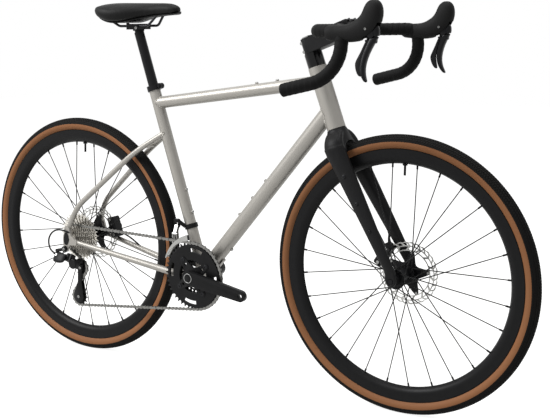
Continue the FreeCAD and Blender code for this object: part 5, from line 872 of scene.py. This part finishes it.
pad_share, pad_grain, most_swell = (0.985, 0.97, 0.95, 1), 5 * mm, 6 * mm
pad_mesh = merged(cad["saddle_pad"].data)
middle = sum((v.co for v in pad_mesh.vertices), Vector()) / len(pad_mesh.vertices)
pad_mesh.transform(Matrix.Translation(middle) @ Matrix.Diagonal(pad_share) @ Matrix.Translation(-middle))
pad_mesh = reshaped(pad_mesh, "REMESH", mode="VOXEL", voxel_size=pad_grain, use_smooth_shade=True)
pad_mesh = reshaped(pad_mesh, "SMOOTH", factor=0.5, iterations=6)
foam = set_out("foam", pad_mesh)
glued = foam.vertex_groups.new(name="glued")
glued.add([v.index for v in pad_mesh.vertices if v.normal.z < -0.3], 1.0, "REPLACE")
swell = foam.modifiers.new("swell", "CLOTH")
swell.settings.use_pressure, swell.settings.uniform_pressure_force = True, 4.0
swell.settings.vertex_group_mass = "glued"
swell.settings.effector_weights.gravity = 0.0
for step in range(1, 21):
    bpy.context.scene.frame_set(step)
grew = frozen(foam)
for before, after in zip(pad_mesh.vertices, grew.vertices):
    moved = after.co - before.co
    after.co = before.co + moved * min(1.0, most_swell / max(moved.length, 1e-9))
bpy.context.scene.frame_set(1)
pad_mesh = grew
pad_mesh = finished(reshaped(pad_mesh, "SUBSURF", levels=1, render_levels=1), cover)
piece("saddle_cover", smooth(pad_mesh, 60), "saddle", "cover", "saddle_pad")


# Crank and chainrings: a forged arm with a satin black coat on a hollow axle, and two toothed rings. A black
# web with four long windows stiffens the big ring, and a bare ring frames the axle's cap.
crank_coat = black_metal("satin_black_crank_coat", "0C0C0D", "171718", 0.0008, 0.4)
softened("right_crank_arm", 1.5, crank_coat, "black_alloy")
softened("left_crank_arm", 1.5, crank_coat, "black_alloy")

# One tooth, by its share of the gap between teeth and its rise above the pitch circle.
chain_pitch = 12.7
tooth_form = ((-0.5, -4.15), (-0.33, -3.45), (-0.19, -0.7), (-0.08, 3.5), (0.08, 3.5), (0.19, -0.7),
              (0.33, -3.45))


def toothed(teeth, plane):
    """The outline of a ring whose teeth stand where the chain needs them, read from the part."""
    pitch_radius = chain_pitch / 2 / math.sin(math.pi / teeth)
    tips = 0j
    for vertex in cad["chainrings"].data.vertices:
        arm = (vertex.co - bottom_bracket) / mm
        if abs(arm.y - plane) < 2 and math.hypot(arm.x, arm.z) > pitch_radius + 2.7:
            tips += cmath.exp(1j * teeth * math.atan2(arm.z, arm.x))
    first = cmath.phase(tips) / teeth
    points = []
    for tooth in range(teeth):
        for share, rise in tooth_form:
            turn = first + math.tau * (tooth + share) / teeth
            points.append(((pitch_radius + rise) * math.cos(turn), (pitch_radius + rise) * math.sin(turn)))
    return points


ring_edge = black_metal("worn_black_ring_edge", "121213", "2C2C2D", 0.001, 0.38)
slots = [window(68.5, 79.0, 90 * quarter - 9.5, 15.5, count=9) for quarter in range(4)]
holes = [[(x + 44 * math.cos(turn), z + 44 * math.sin(turn)) for x, z in ring(2.6, 16)]
         for turn in (math.tau * n / 24 for n in range(24))]
big_ring = plate([toothed(46, -47), ring(46.0)] + slots, -47.9, -46.1, 0.3)
ring_web = plate([ring(86.8, 180), ring(46.0)] + slots, -51.6, -47.9, 0.8)
small_ring = plate([toothed(30, -39.5), ring(37.0)] + holes, -40.4, -38.6, 0.3)
for name, mesh, finish in (("big_ring_teeth", big_ring, ring_edge), ("big_ring_web", ring_web, crank_coat),
                           ("small_ring", small_ring, ring_edge)):
    piece(name, placed(mesh, bottom_bracket, finish), "crank", "black_alloy", "chainrings")
arms = [lean(35.5 + 90 * quarter) for quarter in range(4)]
ring_bolt = turned_head([(5.8, 0.0), (5.8, 0.9), (5.2, 1.4), (2.6, 1.4, "hex"), (2.6, 0.4, "hex")])
seats = [(bottom_bracket + arm * 0.055 + Vector((0, -0.0529, 0)), (0, -1, 0)) for arm in arms]
seats += [(bottom_bracket + arm * reach + Vector((0, inside, 0)), (0, 1, 0))
          for arm in arms for reach, inside in ((0.055, -0.0461), (0.040, -0.0386))]
heads("ring_bolts", ring_bolt, seats, black_steel, "crank", "dark_steel", "chainrings")
axle_ring = plate([ring(13.3), ring(11.3)], -76.2, -74.6, 0.4)
piece("axle_ring", placed(axle_ring, bottom_bracket, steel), "crank", "steel")


# Derailleurs: forged black knuckles and links with bright pulley and cable bolts at the rear, and a bright
# pressed cage on a black clamp at the front.
for part in ("derailleur_b_knuckle", "derailleur_outer_link", "derailleur_inner_link", "derailleur_p_knuckle",
             "derailleur_cage"):
    softened(part, 0.6, crank_coat, "black_alloy")
dress(moulded_plastic, "upper_pulley", "lower_pulley")
softened("front_derailleur_body", 0.5, crank_coat, "black_alloy")
cage_steel = bright_steel("pressed_cage_steel", "858583", "ACACAA", 0.002, 0.28)
dress(cage_steel, "front_derailleur_link")
cage_mesh = merged(cad["front_derailleur_cage"].data)
outer = [(v, v.co - bottom_bracket) for v in cage_mesh.vertices if v.co.y < -0.05]
foot = min(math.hypot(arm.x, arm.z) for _, arm in outer)
taper_start, taper_length, taper_share = 105, 50, 0.55
for vertex, arm in outer:
    reach = math.hypot(arm.x, arm.z)
    tail = min(max((math.degrees(math.atan2(arm.z, arm.x)) - taper_start) / taper_length, 0.0), 1.0)
    pull = (foot + (reach - foot) * (1 - taper_share * tail)) / reach
    vertex.co = bottom_bracket + Vector((arm.x * pull, arm.y, arm.z * pull))
piece("front_derailleur_cage_plates", smooth(finished(cage_mesh, cage_steel), 30), "front_derailleur_cage",
      "steel", "front_derailleur_cage")
small_socket = turned_head([(4.2, -0.3), (4.2, 1.3), (3.7, 1.9), (2.0, 1.9, "hex"), (2.0, 0.6, "hex")])
slant = math.radians(33)
link_out = Vector((0, -math.cos(slant), math.sin(slant)))
link_up = Vector((0, math.sin(slant), math.cos(slant)))
link_base = Vector((-0.553, -0.084, 0.298))
# The link cover's sections: ahead, out and up from the link's pivot, half thickness and half height.
cover_sections = ((-6.0, 9.0, -7.5, 2.0, 9.0), (-3.0, 10.4, -8.0, 4.2, 13.0), (8.0, 11.4, -8.8, 5.6, 15.6),
                  (24.0, 11.4, -8.8, 5.6, 15.8), (35.0, 11.2, -8.6, 3.6, 13.2), (39.0, 10.4, -8.4, 1.6, 9.6))
rings = []
for ahead, out, rise, thick, tall in cover_sections:
    middle = link_base + Vector((ahead * mm, 0, 0)) + (link_out * out + link_up * rise) * mm
    rings.append(oval(middle, link_up * (tall * mm), link_out * (thick * mm), 3.2))
piece("derailleur_link_cover", smooth(skinned(rings, crank_coat), 50), "derailleur_outer_link", "black_alloy")
bolt_seat = link_base + Vector((0.006, 0, 0)) + (link_out * 16.4 - link_up * 2.0) * mm
heads("derailleur_cable_bolt", small_socket, [(bolt_seat, link_out)], steel, "derailleur_outer_link", "steel")
spring_housing = placed(plate([ring(15.0)], -91.5, -77.5, 2.5), Vector((-0.494, 0, 0.281)), crank_coat)
piece("derailleur_spring_housing", spring_housing, "derailleur_p_knuckle", "black_alloy")
hanger_face = [(-11, -16), (-1, -17), (4, -10), (7, 0), (5, 12), (0, 20), (-5, 21), (-10, 14), (-13, 3),
               (-13, -8)]
hanger = plate([hanger_face], -79.4, -78.1, 0.4)
piece("hanger_plate", placed(hanger, rear_axle, crank_coat), "frame", "black_alloy")
heads("derailleur_hanger_bolt", small_socket, [(Vector((-0.5295, -0.0853, 0.321)), (0, -1, 0))], steel,
      "derailleur_b_knuckle", "steel")
heads("pulley_bolts", small_socket, [(Vector((-0.498, -0.054, 0.262)), (0, -1, 0)),
                                     (Vector((-0.509378, -0.054, 0.172722)), (0, -1, 0))],
      steel, "derailleur_cage", "steel")


# Brake calipers: forged black blocks that straddle the rotors, blasted and anodised. Each has a round piston
# cap and two bright bolts on either face.
softened("front_caliper", 0.8, blasted_alloy, "black_alloy")
softened("rear_caliper", 0.8, blasted_alloy, "black_alloy")
piston_cap = turned_head([(11.0, -0.5), (11.0, 0.8), (10.0, 1.4), (7.5, 1.4), (7.0, 0.7),
                          (3.0, 0.7, "hex"), (3.0, 0.1, "hex")], 36)
cap_reach, cap_out, bolt_gap = 76.5 * mm, 17 * mm, 22.5 * mm
for wheel, axle, angle, body in (("front", front_axle, 147.0, "steering"), ("rear", rear_axle, 17.0, "frame")):
    out, along = lean(angle), lean(angle + 90)
    caps, bolts = [], []
    for side in (-1, 1):
        face = axle + out * cap_reach + Vector((0, rotor_plane[wheel] + cap_out * side, 0))
        caps.append((face, (0, side, 0)))
        bolts += [(face + along * (bolt_gap * way), (0, side, 0)) for way in (-1, 1)]
    heads(wheel + "_piston_caps", piston_cap, caps, crank_coat, body, "black_alloy", wheel + "_caliper")
    heads(wheel + "_caliper_bolts", small_socket, bolts, steel, body, "steel", wheel + "_caliper")


# Hoses and shift housing: smooth black plastic over a wound or braided core. Each runs out of the frame or
# fork in one easy bend and ends in a crimped ferrule.

# Extruded plastic: smooth and black, with a narrow soft highlight along the hose that wanders over 8 mm.
hose_plastic, tree = new_finish("smooth_black_hose")
sheen = add(tree, "ShaderNodeTexNoise", {"Vector": laid(tree, 0.008), "Scale": 1.0}).outputs["Fac"]
coated(tree, (sheen, "0A0A0A", "131313"), (sheen, 0.35, 0.48), {"Specular IOR Level": 0.2})
ferrule = turned_head([(3.0, -7.0), (3.4, -6.4), (3.4, 1.0), (2.9, 1.6), (2.5, 1.6)], 20)
for name, body, node, length, route in (
        ("shift_housing", "frame", "rear_housings", 0.1443,
         ((-0.512, -0.076, 0.371), (-0.533, -0.083, 0.378), (-0.556, -0.086, 0.377),
          (-0.576, -0.0865, 0.365), (-0.588, -0.0865, 0.346), (-0.588, -0.086, 0.325),
          (-0.581, -0.084, 0.309), (-0.567, -0.0815, 0.302))),
        ("rear_brake_hose", "frame", "rear_housings", 0.1055,
         ((-0.340, 0.0503, 0.316), (-0.372, 0.054, 0.3335), (-0.404, 0.0565, 0.349), (-0.436, 0.0575, 0.358))),
        ("front_brake_hose", "steering", "front_brake_hose", 0.0527,
         ((0.464, 0.047, 0.410), (0.4605, 0.048, 0.428), (0.463, 0.051, 0.446), (0.471, 0.053, 0.460)))):
    curve = bpy.data.curves.new(name, "CURVE")
    curve.dimensions, curve.bevel_depth, curve.bevel_resolution, curve.use_fill_caps = "3D", 2.5 * mm, 4, True
    curve.materials.append(hose_plastic)
    spline = curve.splines.new("NURBS")
    spline.points.add(len(route) - 1)
    for point, place in zip(spline.points, route):
        point.co = (*place, 1.0)
    spline.order_u, spline.use_endpoint_u, spline.resolution_u = 3, True, 12
    hose = piece(name + "_line", curve, body, "black_plastic", node)
    ends = [(Vector(end), (Vector(end) - Vector(inside)).normalized())
            for end, inside in ((route[0], route[1]), (route[-1], route[-2]))]
    heads(name + "_ferrules", ferrule, ends, black_steel, body, "dark_steel")


# Stage: a pale floor that keeps a soft shadow, a white backdrop and two soft studio lamps. Floor and backdrop
# look brighter to the camera than the light that they throw on the bike.
def looked_at(tree):
    """One where the camera, a mirror or a glass looks straight at a surface, and nought for its light."""
    ray = add(tree, "ShaderNodeLightPath").outputs
    seen = add(tree, "ShaderNodeMath", {0: ray["Is Camera Ray"], 1: ray["Is Glossy Ray"]}, operation="MAXIMUM")
    return add(tree, "ShaderNodeMath", {0: seen.outputs[0], 1: ray["Is Transmission Ray"]},
               operation="MAXIMUM").outputs[0]


floor_paint, tree = new_finish("pale_floor")
paint = add(tree, "ShaderNodeBsdfDiffuse", {"Color": linear("9C9C9A")}).outputs["BSDF"]
glow = add(tree, "ShaderNodeEmission", {"Color": linear("FFFFFF"), "Strength": 0.88}).outputs["Emission"]
lifted = add(tree, "ShaderNodeAddShader", {0: paint, 1: glow}).outputs["Shader"]
shown = add(tree, "ShaderNodeMixShader", {0: looked_at(tree), 1: paint, 2: lifted}).outputs["Shader"]
add(tree, "ShaderNodeOutputMaterial", {"Surface": shown})
floor_mesh = bpy.data.meshes.new("floor")
floor_mesh.from_pydata([(-9, -9, 0), (9, -9, 0), (9, 9, 0), (-9, 9, 0)], [], [(0, 1, 2, 3)])
set_out("floor", finished(floor_mesh, floor_paint))

world = bpy.data.worlds.new("studio")
bpy.context.scene.world = world
world.use_nodes = True
tree = world.node_tree
tree.nodes.clear()
ambient = add(tree, "ShaderNodeBackground", {"Color": linear("FFFFFF"), "Strength": 0.38})
backdrop = add(tree, "ShaderNodeBackground", {"Color": linear("FFFFFF"), "Strength": 1.0})
sky = add(tree, "ShaderNodeMixShader", {0: looked_at(tree), 1: ambient.outputs[0], 2: backdrop.outputs[0]})
add(tree, "ShaderNodeOutputWorld", {"Surface": sky.outputs[0]})

for name, place, aim, size, watts in (("key", (-2.6, -2.6, 3.2), (0, 0, 0.5), 2.2, 205.0),
                                      ("top", (0.3, 0.2, 4.2), (0, 0, 0.4), 3.0, 105.0)):
    lamp = bpy.data.lights.new(name, "AREA")
    lamp.energy, lamp.size = watts, size
    thing = set_out(name, lamp)
    thing.location = place
    thing.rotation_euler = (Vector(aim) - Vector(place)).to_track_quat("-Z", "Y").to_euler()

azimuth, fall, roll = math.radians(32.69), math.radians(10.34), math.radians(-0.79)
back = Vector((math.sin(azimuth) * math.cos(fall), -math.cos(azimuth) * math.cos(fall), math.sin(fall)))
right = (-back).cross(Vector((0, 0, 1))).normalized()
up = right.cross(-back)
level_right = right * math.cos(roll) + up * math.sin(roll)
level_up = up * math.cos(roll) - right * math.sin(roll)
camera = set_out("camera", bpy.data.cameras.new("camera"))
camera.matrix_world = Matrix((level_right, level_up, back)).transposed().to_4x4()
camera.location = (1.570, -2.205, 0.9645)
camera.data.sensor_width, camera.data.lens = 36.0, 66.55
camera.data.clip_start, camera.data.clip_end = 0.05, 60.0
bpy.context.scene.camera = camera
bpy.context.scene.view_settings.view_transform = "Standard"
